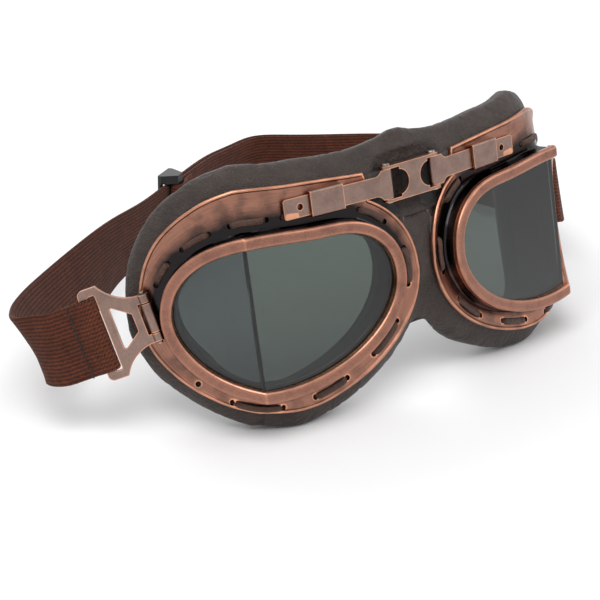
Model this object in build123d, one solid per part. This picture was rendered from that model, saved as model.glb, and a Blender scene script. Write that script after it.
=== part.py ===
"""Aviator flying goggles: two hinged metal eye-cups on a padded leather mask.

Everything on the front is drawn in the goggles' own upright axes: X across,
-Y forward, Z up, with the origin half way between the two lens folds.
The wearer's right side is at -X. Each right-hand piece is drawn once and mirrored.
The finished front then leans back to its resting pose on the table at Z = 0.
"""
from build123d import *
import math
import os

os.makedirs("parts", exist_ok=True)

# Resting pose
lean_deg = 11.6
lens_centre_height = 42.9

# Lens outline
fold_half_span = 70.6
front_toe_deg = 7.4
side_turn_deg = 50.0
nose_half_width = 15.66
side_lens_width = 27.6
lens_half_height = 23.1
front_outline_shares = [(0, 1.0), (0.175, 0.974), (0.50, 0.905), (0.78, 0.82), (0.955, 0.50), (0.995, 0.02),
                        (0.87, -0.50), (0.56, -0.93), (0.22, -1.07), (0, -1.03)]
side_outline_shares = [(0, 1.0), (0.36, 0.92), (0.70, 0.73), (0.95, 0.37), (0.985, -0.06),
                       (0.81, -0.46), (0.42, -0.84), (0, -1.03)]
lens_thickness = 2.0
lens_grip = 1.3
seal_thickness = 0.9
fit_gap = 0.05

# Lens rim
rim_width = 4.2
rim_depth = 2.1
rim_round = 0.95

# Eye-cup
sheet = 1.0
seat_width = 1.5
ledge_reach = 0.5
wall_top_inset = 0.5
wall_foot = 4.7
foot_depth = 5.7
flange_depth = 4.7
brow_depth = 6.2
brow_lip = 5.4
brow_fall_deg = 4.6
brow_line_share = 0.8
brow_corner_width = 16.6
temple_width = 7.8
chin_front_width = 6.8
chin_side_width = 4.8
chin_change = 20.0
edge_bead = 0.6
edge_bead_width = 1.3
brow_end_inset = 4.7
brow_end_margin = 7.6
foot_bend = 8.0
flange_bend = 19.0
lace_hole_radius = 1.0
lace_out = 3.6
front_lace_shares = [0.07, 0.17, 0.27, 0.36, 0.43, 0.51, 0.59, 0.67, 0.75, 0.85, 0.94]
side_lace_shares = [0.09, 0.24, 0.36, 0.50, 0.74, 0.88]

# Leather pad and face cushion
pad_gap = 0.3
pad_overhang = 6.6
pad_tuck = 1.0
pad_crown_drop = 2.9
nose_crown_drop = 2.2
pad_bend = 22.0
pad_bulge_depth = 13.5
pad_shoulder = 3.0
pad_draw_in = 3.2
pad_back_depth = 17.6
pad_inner = 2.0
pad_inner_lead = 1.0
saddle_rise = 29.5
saddle_power_share = 3.0
saddle_start_share = 0.35
brow_start_share = 0.8
cushion_gap = 0.25
cushion_inset = 1.2
cushion_depth = 5.0
nose_gap = 0.4
nose_relief_deg = 5.0
nose_groove_back = 19.0
nose_groove_top_radius = 4.2
nose_groove_bottom_radius = 18.0
nose_groove_half_height = 45.0

# Stations of the swept pieces
outline_stations = 28
cup_front_stations = 26
cup_side_stations = 14
pad_front_stations = 22
pad_side_stations = 12

# Bridge
keeper_rim_gap = 0.1
link_plate_half = 6.3
link_height = 12.2
link_sheet = 1.0
link_waist_half = 2.6
link_cut_radius = 4.2
link_ear_radius = 2.2
bridge_pin_x = 10.3
bridge_pin_radius = 0.75
pin_head_radius = 1.5
pin_head_height = 0.8
pin_play = 0.08
tongue_sheet = 0.9
tongue_height = 6.8
tongue_end_height = 10.0
tongue_end_outer = 13.4
tongue_flare = 3.4
tongue_fold_gap = 19.1
tongue_corner = 1.0
tongue_hole_radius = 1.1
tongue_hole_inset = 6.2
bridge_clearance = 1.1
bridge_hollow_slope = 4.0
hollow_half_width = 13.2
hollow_corner = 2.0
keeper_fold_gap = 34.4
keeper_width = 12.8
keeper_height = 8.8
keeper_sheet = 0.8
keeper_play = 0.2
seat_gap = 0.1
keeper_round = 0.7

# Strap hinge and plate, drawn from the hinge pin outward
strap_pin_out = 34.8
strap_pin_up = 3.8
strap_pin_depth = 1.9
strap_pin_tilt_deg = 13.0
strap_pin_radius = 0.9
strap_pin_length = 18.0
tab_radius = 1.9
tab_length = 9.8
tab_leaf = 3.2
plate_open_deg = 10.0
plate_sheet = 1.2
plate_pin_play = 0.05
plate_ear_radius = 1.74
ear_length = 2.8
ear_gap = 0.35
plate_cut = 2.7
plate_neck_step = 1.08
plate_sweep_share = 0.33
plate_waist_share = 0.78
plate_corner = 2.0
plate_reach = 20.1
plate_half_height = 15.7
neck_half_height = 8.4
window_near = 5.4
window_far = 11.8
window_near_half = 3.0
window_far_half = 7.6
slot_near = 14.7
slot_far = 17.2
slot_half = 13.0

# Strap
strap_width = 24.8
strap_thickness = 1.8
strap_play = 0.2
loop_seam = 24.0
loop_end = 27.0
loop_lead = 4.0
loop_gap = 0.35
loop_depth = 187.2
turn_shares = [(-0.6319, 0.2644, 0.1560), (-0.6368, 0.2911, 0.1512), (-0.6229, 0.3237, 0.1496)]
turn_width_shares = (-0.204, 0.604, 0.771)
turn_share = 0.045
right_run_shares = [(-0.5796, 0.3729, 0.1458), (-0.4786, 0.4583, 0.1341), (-0.3424, 0.5614, 0.1234),
                    (-0.2073, 0.6608, 0.1127)]
straight_shares = [(-0.0748, 0.7425, 0.0990), (0.1282, 0.8707, 0.0850)]
back_run_shares = [(0.2415, 0.9400, 0.0730), (0.3300, 0.9790, 0.0650), (0.4060, 0.9930, 0.0640),
                   (0.4720, 0.9500, 0.0640), (0.5600, 0.8820, 0.0640), (0.6450, 0.8000, 0.0665),
                   (0.6960, 0.7000, 0.0740), (0.7100, 0.5900, 0.0850), (0.6990, 0.4600, 0.1020),
                   (0.6800, 0.3700, 0.1200)]
straight_steps = 5
band_stations = 84
end_crowding_share = 0.6
return_stations = 46
upright_start_share = 0.10
upright_end_share = 0.34

# Strap adjuster
adjuster_place_share = 0.5
adjuster_length = 12.0
adjuster_bar = 2.4
adjuster_sheet = 1.6
adjuster_rail = 3.4
adjuster_play = 0.4
adjuster_loop_length = 14.0
adjuster_seam = 3.0
adjuster_round = 0.5

# Overrun of cutting shapes
overrun = 30.0


# Goggles' own axes

def unit(x, y, z=0.0):
    """A direction of length one."""
    return Vector(x, y, z).normalized()


front_toe = math.radians(front_toe_deg)
side_turn = math.radians(side_turn_deg)
mid_turn = (front_toe + side_turn) / 2
half_fold = (side_turn - front_toe) / 2
fold_point = Vector(-fold_half_span, 0, 0)
front_lens_width = (fold_half_span - nose_half_width) / math.cos(front_toe)
bridge_height = lens_half_height + rim_width + keeper_rim_gap + keeper_height / 2
brow_width = keeper_height + keeper_rim_gap + brow_lip
brow_end = front_lens_width - brow_end_inset
tongue_reach = fold_half_span - tongue_fold_gap
keeper_x = fold_half_span - keeper_fold_gap

front_plane = Plane(fold_point, x_dir=unit(math.cos(front_toe), -math.sin(front_toe)),
                    z_dir=unit(-math.sin(front_toe), -math.cos(front_toe)))
side_plane = Plane(fold_point, x_dir=unit(math.cos(side_turn), -math.sin(side_turn)),
                   z_dir=unit(-math.sin(side_turn), -math.cos(side_turn)))
mitre_plane = Plane(fold_point, z_dir=unit(math.cos(mid_turn), -math.sin(mid_turn)))
resting = Pos(0, 0, lens_centre_height) * Rot(X=-lean_deg)


def sheet_point(along, up, depth, bend):
    """A point of the folded front: along it from the fold, up, and depth behind the lenses.

    Within the distance called bend from the fold, the sheet follows a round bend.
    """
    if abs(along) >= bend or bend == 0:
        plane = front_plane if along > 0 else side_plane
        if along == 0:
            out = unit(-math.sin(mid_turn), -math.cos(mid_turn))
            return fold_point - out * (depth / math.cos(half_fold)) + Vector(0, 0, up)
        return plane.from_local_coords(Vector(along, up, -depth))
    radius = bend / math.tan(half_fold)
    turn = mid_turn - along / bend * half_fold
    middle = unit(-math.sin(mid_turn), -math.cos(mid_turn))
    centre = fold_point - middle * (radius / math.cos(half_fold))
    return centre + unit(-math.sin(turn), -math.cos(turn)) * (radius - depth) + Vector(0, 0, up)


# Where the bridge pins stand

tongue_depth = brow_depth - seat_gap - keeper_play - tongue_sheet
knuckle_radius = bridge_pin_radius + pin_play + tongue_sheet
pin_depth = tongue_depth + knuckle_radius
pin_along = (fold_half_span - bridge_pin_x - pin_depth * math.sin(front_toe)) / math.cos(front_toe)
bridge_pin_point = sheet_point(pin_along, bridge_height, pin_depth, 0)
ear_inner = tongue_end_height / 2 + pin_play


# Lens outline, flat, from the top of the fold round to its bottom

def outline_edge(shares, width):
    """One lens's curved edge as a spline through points given as shares."""
    return Spline(*[(x * width, z * lens_half_height) for x, z in shares])


front_edge = outline_edge(front_outline_shares, front_lens_width)
side_edge = outline_edge(side_outline_shares, -side_lens_width)


def stations(edge, count, way):
    """Points of a lens edge with their outward directions, from fold top to fold bottom."""
    places = []
    for i in range(count + 1):
        share = i / count
        point = edge.position_at(share)
        tangent = edge.tangent_at(share)
        outward = Vector(-tangent.Y, tangent.X) * way
        if i in (0, count):
            outward = Vector(0, 1 if i == 0 else -1)
        places.append((point, outward))
    return places


def lens_face(edge, way, grown=0.0):
    """The flat lens shape, grown outward, and carried on past the fold to be mitred there."""
    if grown:
        edge = Spline(*[point + outward * grown for point, outward in stations(edge, outline_stations, way)])
    top, bottom = edge.position_at(0), edge.position_at(1)
    past_top = top - edge.tangent_at(0) * overrun / 3
    past_bottom = bottom + edge.tangent_at(1) * overrun / 3
    closing = Line(past_bottom, past_top)
    return make_face([edge, Line(bottom, past_bottom), closing, Line(past_top, top)])


def mitred(front_solid, side_solid, setback=0.0):
    """Keep each half on its own side of the fold, set back for what stands between."""
    front_half = split(front_plane.location * front_solid, bisect_by=mitre_plane.offset(setback), keep=Keep.TOP)
    side_half = split(side_plane.location * side_solid, bisect_by=mitre_plane.offset(-setback), keep=Keep.BOTTOM)
    return front_half, side_half


def lens_blank(edge, way):
    """One flat pane with the margin that the rim grips."""
    blank = extrude(lens_face(edge, way, lens_grip), amount=-lens_thickness)
    return Pos(0, 0, -rim_depth - fit_gap) * blank


def lenses():
    """The front and side panes, with room for the seal at the fold."""
    return mitred(lens_blank(front_edge, 1), lens_blank(side_edge, -1), seal_thickness / 2 + fit_gap)


def lens_seal():
    """The thin black strip that closes the fold between the panes."""
    bevel = seal_thickness / 2 * math.tan(half_fold)
    reach = (rim_depth + fit_gap) / math.cos(half_fold) + bevel
    length = lens_thickness / math.cos(half_fold) - 2 * bevel
    top = front_edge.position_at(0).Y + lens_grip / 2
    bottom = front_edge.position_at(1).Y - lens_grip / 2
    strip = Plane(fold_point, x_dir=unit(math.cos(mid_turn), -math.sin(mid_turn)),
                  z_dir=unit(-math.sin(mid_turn), -math.cos(mid_turn)))
    bar = Box(seal_thickness, top - bottom, length, align=(Align.CENTER, Align.MIN, Align.MAX))
    return strip.location * Pos(0, bottom, -reach) * bar


# Eye-cup: one section, carried round the lens outline

def brow_reach(point, outward):
    """How far the brow's straight top edge lies from a point of the lens outline."""
    fall = math.tan(math.radians(brow_fall_deg))
    top = lens_half_height + rim_width + brow_width
    return (top - fall * point.X - point.Y) / (outward.Y + fall * outward.X)


def flange_width(point, outward):
    """The flange is widest over the brow and narrowest under the cheek."""
    lift = max(0.0, outward.Y) ** 2
    drop = max(0.0, -outward.Y) ** 2
    front_share = min(max(point.X / chin_change, 0.0), 1.0)
    chin = chin_side_width + (chin_front_width - chin_side_width) * front_share
    width = temple_width + (brow_width - temple_width) * lift + (chin - temple_width) * drop
    if outward.Y < brow_line_share or point.X <= 0:
        return width
    return min(brow_reach(point, outward) - rim_width, brow_corner_width)


def brow_blend(low, high, outward):
    """A depth that changes from low at the nose and cheek to high over the brow."""
    return low + (high - low) * min(max(0.0, outward.Y) / brow_start_share, 1.0) ** 2


def cup_section(point, outward):
    """One section of the stamped cup: lens seat, wall, flange and rolled edge."""
    foot = brow_blend(foot_depth, brow_depth, outward)
    depth = brow_blend(flange_depth, brow_depth, outward)
    edge = rim_width + flange_width(point, outward)
    seat = rim_depth + fit_gap + lens_thickness + fit_gap
    wall_top = rim_width - wall_top_inset
    profile = [(-ledge_reach, seat, 0), (seat_width, seat, 0),
               (seat_width, rim_depth, 0), (wall_top, rim_depth, 0),
               (wall_foot, foot, foot_bend),
               (edge - edge_bead_width, depth, flange_bend),
               (edge - edge_bead_width * 0.75, depth - edge_bead, flange_bend),
               (edge - edge_bead_width * 0.2, depth - edge_bead, flange_bend),
               (edge, depth, flange_bend), (edge, depth + sheet, flange_bend),
               (wall_foot - sheet / 2, foot + sheet, foot_bend),
               (wall_top - sheet, seat + sheet, 0), (-ledge_reach, seat + sheet, 0)]
    corners = []
    for out, behind, bend in profile:
        place = point + outward * out
        corners.append(sheet_point(place.X, place.Y, behind, bend))
    return Polyline(*corners, close=True)


def carried(section, count_front, count_side):
    """Loft a section round the front lens and round the side lens, and join the two."""
    front_wires = [Wire(section(*place).edges()) for place in stations(front_edge, count_front, 1)]
    side_wires = [Wire(section(*place).edges()) for place in stations(side_edge, count_side, -1)]
    return Solid.make_loft(front_wires), Solid.make_loft(side_wires)


def joined(front_half, side_half):
    """Sew the two lofted halves into one solid across the mitre."""
    faces = []
    for half in (front_half, side_half):
        for face in half.faces():
            if abs(mitre_plane.to_local_coords(face.center()).Z) > fit_gap:
                faces.append(face)
    return Solid(Shell(faces))


def rim_section(point, outward):
    """One section of the rim: flat behind, rounded at both front edges."""
    def at(out, behind):
        place = point + outward * out
        return sheet_point(place.X, place.Y, behind, 0)

    corner = rim_round * (1 - math.sqrt(0.5))
    inner = ThreePointArc(at(0, rim_round), at(corner, corner), at(rim_round, 0))
    outer = ThreePointArc(at(rim_width - rim_round, 0), at(rim_width - corner, corner), at(rim_width, rim_round))
    return Wire([Line(at(0, rim_depth), at(0, rim_round)), inner,
                 Line(at(rim_round, 0), at(rim_width - rim_round, 0)), outer,
                 Line(at(rim_width, rim_round), at(rim_width, rim_depth)),
                 Line(at(rim_width, rim_depth), at(0, rim_depth))])


def lens_rim():
    """The bright rim that clamps both panes."""
    return joined(*carried(rim_section, cup_front_stations, cup_side_stations))


def lace_holes(edge, shares, way):
    """Drills for the holes that the leather lace is threaded through."""
    drills = []
    for share in shares:
        tangent = edge.tangent_at(share)
        place = edge.position_at(share) + Vector(-tangent.Y, tangent.X) * way * (rim_width + lace_out)
        drills.append(Pos(place.X, place.Y, -flange_depth) * Cylinder(lace_hole_radius, 2 * brow_depth))
    return drills


def eye_cup():
    """The stamped and pierced cup with its brow plate cut off square above the nose."""
    front_half, side_half = carried(cup_section, cup_front_stations, cup_side_stations)
    for drill in lace_holes(front_edge, front_lace_shares, 1):
        front_half -= front_plane.location * drill
    for drill in lace_holes(side_edge, side_lace_shares, -1):
        side_half -= side_plane.location * drill
    cup = joined(front_half, side_half)
    beside_nose = Pos(brow_end + overrun, 0) * Rectangle(2 * overrun, 4 * overrun)
    waste = beside_nose - lens_face(front_edge, 1, brow_end_margin + rim_width)
    cutter = Pos(0, 0, -overrun / 2) * extrude(waste, amount=overrun)
    return cup - front_plane.location * cutter


# Leather pad and cushion: the same sweep with soft sections

def pad_rise(point, outward):
    """Between the cups the mask rises to a saddle over the bridge."""
    if point.X <= 0 or outward.X <= 0 or outward.Y <= 0:
        return 0.0
    return saddle_rise * outward.X ** saddle_power_share * min(outward.Y / saddle_start_share, 1.0)


def pad_points(point, outward):
    """A function that places a point of the padded section, with the section's main sizes."""
    edge = rim_width + flange_width(point, outward)
    depth = brow_blend(flange_depth, brow_depth, outward) + sheet + pad_gap
    foot = brow_blend(foot_depth, brow_depth, outward) + sheet + pad_gap
    rise = Vector(0, pad_rise(point, outward))

    def at(out, behind, share=0.0):
        place = point + outward * out + rise * share
        return sheet_point(place.X, place.Y, behind, pad_bend)

    return at, edge, depth, foot, edge + pad_overhang


def pad_section(point, outward):
    """Leather-covered foam: flat under the flange, swelling past it, drawn in behind."""
    at, edge, depth, foot, outer = pad_points(point, outward)
    tuck, bulge = at(edge - pad_tuck, depth), at(outer, pad_bulge_depth, 1)
    drawn = at(outer - pad_draw_in, pad_back_depth, 0.9)
    inner = at(pad_inner, pad_back_depth)
    drop = pad_crown_drop + nose_crown_drop * max(outward.X, 0.0) ** 2
    crown = ThreePointArc(tuck, at(edge + pad_overhang * 0.78, depth + drop, 0.8), bulge)
    shoulder = ThreePointArc(bulge, at(outer - pad_draw_in / 4, pad_bulge_depth + pad_shoulder, 0.96), drawn)
    lead = at(pad_inner + pad_inner_lead, foot)
    return Wire([crown, shoulder, Line(drawn, inner), Line(inner, lead), Line(lead, tuck)])


def cushion_section(point, outward):
    """The soft ring against the face, rounded behind."""
    at, edge, depth, foot, outer = pad_points(point, outward)
    start = pad_back_depth + cushion_gap
    high, haunch = start + cushion_depth, start + cushion_depth * 0.72
    outside = outer - pad_draw_in - cushion_inset
    inside = pad_inner + cushion_inset / 2
    crest = (outside + inside) / 2
    wide, narrow = (outside * 3 + crest) / 4, (inside * 3 + crest) / 4
    outer_arc = ThreePointArc(at(outside, start, 0.9), at(wide, haunch, 0.7), at(crest, high, 0.5))
    inner_arc = ThreePointArc(at(crest, high, 0.5), at(narrow, haunch, 0.2), at(inside, start))
    return Wire([outer_arc, inner_arc, Line(at(inside, start), at(outside, start, 0.9))])


def nose_groove():
    """The hollow behind the bridge where the nose goes, wider towards the tip."""
    groove = Cone(nose_groove_bottom_radius, nose_groove_top_radius, 2 * nose_groove_half_height)
    return Pos(0, nose_groove_back, 0) * groove


def bridge_hollow():
    """The dent in the leather that the link and the tongue ends lie in."""
    floor = bridge_pin_point.Y + link_ear_radius + bridge_clearance
    mouth = Pos(0, 0, bridge_hollow_slope) * RectangleRounded(
        2 * (hollow_half_width + bridge_hollow_slope), link_height + 4 * bridge_hollow_slope, hollow_corner)
    base = RectangleRounded(2 * hollow_half_width, link_height + 2 * pin_head_height + bridge_hollow_slope,
                            hollow_corner)
    seat = Plane((0, floor, bridge_height), x_dir=(1, 0, 0), z_dir=(0, -1, 0))
    return seat.location * loft([base.face(), mouth.face()])


def trimmed(half):
    """Cut one half of a soft ring for the nose, the bridge and the table."""
    relief = math.radians(nose_relief_deg)
    low, high = (Align.CENTER, Align.CENTER, Align.MIN), (Align.CENTER, Align.CENTER, Align.MAX)
    wall = Plane((-nose_gap, 0, 0), z_dir=unit(math.cos(relief), math.sin(relief)))
    block = 2 * (fold_half_span + loop_depth)
    half -= wall.location * Box(block, block, block, align=low)
    half = half - nose_groove() - bridge_hollow()
    return half - resting.inverse() * Box(block, block, block, align=high)


def padded(section):
    """Carry a soft section round each lens, trim both halves and join them."""
    front_wires = [section(*place) for place in stations(front_edge, pad_front_stations, 1)]
    side_wires = [section(*place) for place in stations(side_edge, pad_side_stations, -1)]
    return joined(trimmed(Solid.make_loft(front_wires)), trimmed(Solid.make_loft(side_wires)))


# Bridge: link, tongues and keepers

def from_pin(x):
    """Distance along the tongue from the bridge pin to the place x across the goggles."""
    return (x - bridge_pin_x) / math.cos(front_toe)


def bridge_tongue():
    """The sliding tongue: a strip whose T-shaped end is rolled round the bridge pin."""
    shoulder, reach = from_pin(tongue_end_outer), from_pin(tongue_reach)
    half, end_half = tongue_height / 2, tongue_end_height / 2
    neck = shoulder + tongue_flare
    edges = []
    for way in (1, -1):
        start, corner = (0, way * end_half), (-shoulder, way * end_half)
        middle = (-shoulder - tongue_flare * 0.32, way * (end_half - (end_half - half) * 0.72))
        edges += [Line((0, 0), start), Line(start, corner)]
        edges.append(ThreePointArc(corner, middle, (-neck, way * half)))
        edges += [Line((-neck, way * half), (-reach, way * half)), Line((-reach, way * half), (-reach, 0))]
    outline = make_face(edges)
    tips = outline.vertices().filter_by(lambda v: v.X < -reach + pin_play and abs(v.Y) > half / 2)
    outline = fillet(tips, radius=tongue_corner)
    outline -= Pos(-reach + tongue_hole_inset, 0) * Circle(tongue_hole_radius)
    strip = extrude(outline, amount=-tongue_sheet)
    axis = Pos(0, 0, -knuckle_radius) * Rot(X=90)
    knuckle = axis * Cylinder(knuckle_radius, tongue_end_height)
    bore = axis * Cylinder(bridge_pin_radius + pin_play, overrun)
    seat = front_plane.location * Pos(pin_along, bridge_height, -tongue_depth)
    return seat * (strip + knuckle - bore)


def bridge_keeper():
    """The bent strap on the brow that the tongue slides through."""
    outer_depth = keeper_sheet + keeper_play + tongue_sheet + keeper_play
    high = (Align.CENTER, Align.CENTER, Align.MAX)
    block = Box(keeper_width, keeper_height, outer_depth, align=high)
    block = fillet(block.edges().filter_by(Axis.X).sort_by(Axis.Z)[-2:], radius=keeper_round)
    hollow = Box(overrun, tongue_height + 2 * keeper_play, overrun, align=high)
    along = (fold_half_span - keeper_x) / math.cos(front_toe)
    seat = front_plane.location * Pos(along, bridge_height, seat_gap - brow_depth + outer_depth)
    return seat * (block - Pos(0, 0, -keeper_sheet) * hollow)


def bridge_link():
    """The centre link: a plate waisted by two round cuts, with ears bent back to the pins."""
    face_y = bridge_pin_point.Y - link_ear_radius
    plate = Rectangle(2 * link_plate_half, link_height)
    for way in (1, -1):
        plate -= Pos(way * (link_waist_half + link_cut_radius), 0) * Circle(link_cut_radius)
    front = Plane((0, face_y + link_sheet, bridge_height), x_dir=(1, 0, 0), z_dir=(0, -1, 0))
    link = front.location * extrude(plate, amount=link_sheet)
    ear_face = SlotCenterToCenter(2 * bridge_pin_x, 2 * link_ear_radius)
    for way in (1, -1):
        ear_face -= Pos(way * bridge_pin_x, 0) * Circle(bridge_pin_radius)
    ear = extrude(ear_face, amount=link_height / 2 - ear_inner)
    for height in (ear_inner, -link_height / 2):
        link += Pos(0, bridge_pin_point.Y, bridge_height + height) * ear
    return link


def bridge_pin():
    """A rivet pin through both ears, with a domed head on top."""
    low, high = (Align.CENTER, Align.CENTER, Align.MAX), (Align.CENTER, Align.CENTER, Align.MIN)
    shank = Cylinder(bridge_pin_radius, link_height)
    head = Cylinder(pin_head_radius, pin_head_height, align=high)
    head = fillet(head.faces().sort_by(Axis.Z)[-1].edges(), radius=pin_head_height * 0.7)
    foot = Cylinder(pin_head_radius * 0.8, pin_head_height * 0.6, align=low)
    pin = shank + Pos(0, 0, link_height / 2) * head + Pos(0, 0, -link_height / 2) * foot
    return Pos(-bridge_pin_x, bridge_pin_point.Y, bridge_height) * pin


# Strap hinge: a rolled tab on the temple, its pin, and the strap plate

hinge_seat = side_plane.location * Pos(-strap_pin_out, strap_pin_up, -strap_pin_depth)
hinge_frame = hinge_seat * Rot(Z=180 + strap_pin_tilt_deg)
plate_frame = hinge_frame * Rot(Y=-plate_open_deg)


def upright(length, radius, centre=0.0):
    """A round bar along the strap hinge."""
    return Pos(0, centre, 0) * Rot(X=90) * Cylinder(radius, length)


def strap_tab():
    """The tab rolled round the hinge pin, with its foot on the flange."""
    drop = flange_depth - seat_gap - strap_pin_depth
    low = (Align.CENTER, Align.CENTER, Align.MIN)
    leaf = Pos(0, 0, -drop) * Box(tab_leaf, tab_length, sheet, align=low)
    web = Pos(0, 0, -drop) * Box(sheet, tab_length, drop, align=low)
    tab = upright(tab_length, tab_radius) + leaf + web
    return hinge_frame * (tab - upright(overrun, strap_pin_radius + pin_play))


def strap_pin():
    """The hinge pin of the strap plate."""
    return hinge_frame * upright(strap_pin_length, strap_pin_radius)


def plate_outline():
    """The stamped plate seen flat: neck at the pin, flaring to the strap bar."""
    ear_start = tab_length / 2 + ear_gap
    ear_end = ear_start + ear_length
    shoulder = slot_near - plate_sheet
    edges = []
    for way in (1, -1):
        neck = (plate_cut + plate_neck_step, way * neck_half_height)
        flare = neck_half_height + (plate_half_height - neck_half_height) * plate_sweep_share
        middle = (window_far * plate_waist_share, way * flare)
        side = (shoulder, way * plate_half_height)
        edges += Polyline((plate_cut, 0), (plate_cut, way * ear_start), (0, way * ear_start),
                          (0, way * ear_end), neck).edges()
        edges.append(ThreePointArc(neck, middle, side))
        edges.append(Line(side, (plate_reach - plate_corner, way * plate_half_height)))
        turn = plate_corner * (1 - math.sqrt(0.5))
        edges.append(ThreePointArc((plate_reach - plate_corner, way * plate_half_height),
                                   (plate_reach - turn, way * (plate_half_height - turn)),
                                   (plate_reach, way * (plate_half_height - plate_corner))))
        edges.append(Line((plate_reach, way * (plate_half_height - plate_corner)), (plate_reach, 0)))
    return make_face(edges)


def strap_plate():
    """The strap plate with its window, slot, outer bar and two rolled ears."""
    window = make_face(Polyline((window_near, window_near_half), (window_far, window_far_half),
                                (window_far, -window_far_half), (window_near, -window_near_half), close=True))
    window = fillet(window.vertices(), radius=plate_sheet / 2)
    slot = RectangleRounded(slot_far - slot_near, 2 * slot_half, plate_sheet / 2)
    outline = plate_outline() - window - Pos((slot_near + slot_far) / 2, 0) * slot
    plate = Pos(0, 0, -plate_sheet / 2) * extrude(outline, amount=plate_sheet)
    ear_middle = tab_length / 2 + ear_gap + ear_length / 2
    for way in (1, -1):
        plate += upright(ear_length, plate_ear_radius, way * ear_middle)
    return plate_frame * (plate - upright(overrun, strap_pin_radius + plate_pin_play))


# Strap: loops at the plates, one long band, and the return layer to the adjuster

layer_offset = (strap_thickness + strap_play) / 2
right_plate = resting * plate_frame
right_start = right_plate * Pos(loop_end, 0, layer_offset)


def world(location, x, y, z):
    """A point of a frame, and the frame's own directions, in the table's axes."""
    return (location * Pos(x, y, z)).position


def folded_loop(bar_half, bar_near, bar_far, seam, end, lean=0.0):
    """Webbing folded round a bar and sewn to itself, seen along the bar and given its width."""
    gap = bar_half + strap_play
    out = gap + strap_thickness
    centre = bar_near + bar_half * 0.6
    layer = strap_thickness + strap_play / 2
    upper = (end, layer + lean), (seam, layer + lean), (bar_far + strap_play, out)
    lower = (bar_far + strap_play, -out), (seam, lean - layer), (end, lean - layer)
    outside = Polyline(*upper, (centre, out)).edges() + [ThreePointArc((centre, out), (centre - out, 0), (centre, -out))]
    outside += Polyline((centre, -out), *lower, upper[0]).edges()
    inside = Polyline((centre, gap), (bar_far + strap_play, gap), (seam, lean),
                      (bar_far + strap_play, -gap), (centre, -gap)).edges()
    inside += [ThreePointArc((centre, -gap), (centre - gap, 0), (centre, gap))]
    section = make_face(outside) - make_face(inside)
    return Rot(X=90) * extrude(section, amount=strap_width / 2, both=True)


def strap_loop():
    """The end of the webbing, round the outer bar of the strap plate."""
    return plate_frame * folded_loop(plate_sheet / 2, slot_far, plate_reach, loop_seam, loop_end)


def route_points(shares):
    """Route points from their shares of the depth of the head loop."""
    return [Vector(x, y, z) * loop_depth for x, y, z in shares]


def mirrored(vector):
    """The same direction or place on the other side."""
    return Vector(-vector.X, vector.Y, vector.Z)


plate_origin = world(right_plate, 0, 0, 0)
plate_out = world(right_plate, 1, 0, 0) - plate_origin
plate_up = world(right_plate, 0, -1, 0) - plate_origin
turn_up = unit(*turn_width_shares)
straight_start, straight_end = route_points(straight_shares)
straight_way = (straight_end - straight_start).normalized()
first = route_points(turn_shares + right_run_shares)
last = route_points(back_run_shares)
straight_points = [straight_start + (straight_end - straight_start) * (i / straight_steps)
                   for i in range(straight_steps + 1)]
lead = [world(right_plate, loop_end + loop_lead * i / 2, 0, layer_offset) for i in range(3)]
route = Spline(*lead, *first, *straight_points, *last, *[mirrored(point) for point in reversed(lead)])


def smooth(share):
    """An even step from 0 to 1."""
    share = min(max(share, 0.0), 1.0)
    return share * share * (3 - 2 * share)


def width_way(share, way):
    """The direction across the webbing: along the plates at the ends, upright at the back."""
    from_end = min(share, 1 - share)
    turned = smooth(from_end / turn_share)
    side_up = plate_up * (1 - turned) + turn_up * turned
    if share > 1 / 2:
        side_up = mirrored(side_up)
    held = smooth((upright_end_share - from_end) / (upright_end_share - upright_start_share))
    across = (side_up * held + Vector(0, 0, 1) * (1 - held)).normalized()
    return (across - way * across.dot(way)).normalized()


def webbing(start, end, count, inward=0.0):
    """A length of webbing lofted along the route, set in from it when it is the inner layer."""
    sections = []
    for i in range(count + 1):
        even = i / count
        crowded = even - end_crowding_share * math.sin(2 * math.pi * even) / (2 * math.pi)
        share = start + (end - start) * crowded
        place, way = route.position_at(share), route.tangent_at(share)
        across = width_way(share, way)
        normal = way.cross(across)
        centre = place + normal * inward
        corners = [centre + across * (u * strap_width / 2) + normal * (v * strap_thickness / 2)
                   for u, v in ((1, 1), (-1, 1), (-1, -1), (1, -1))]
        sections.append(Polyline(*corners, close=True))
    strip = Solid.make_loft([Wire(section.edges()) for section in sections])
    return split(strip, bisect_by=Plane.XY, keep=Keep.TOP)


def share_near(point):
    """How far along the route a point on it lies."""
    step = 1 / (4 * band_stations)
    best = min([i * step for i in range(4 * band_stations + 1)],
               key=lambda share: (route.position_at(share) - point).length)
    ahead = (point - route.position_at(best)).dot(route.tangent_at(best))
    return best + ahead / route.length


def strap_band():
    """The long elastic band round the back of the head."""
    return webbing(loop_gap / route.length, 1 - loop_gap / route.length, band_stations)


# Adjuster on the straight stretch

adjuster_point = straight_start + (straight_end - straight_start) * adjuster_place_share
adjuster_share = share_near(adjuster_point)
adjuster_across = width_way(adjuster_share, straight_way)
adjuster_frame = Plane(adjuster_point, x_dir=straight_way, z_dir=straight_way.cross(adjuster_across)).location
outer_bar_height = -(strap_thickness + adjuster_sheet) / 2 - strap_play
loop_bar_height = 2 * layer_offset + strap_thickness / 2 + strap_play + adjuster_sheet / 2
return_start = adjuster_share + (adjuster_loop_length + loop_gap) / route.length
return_end = 1 - loop_gap / route.length


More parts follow.
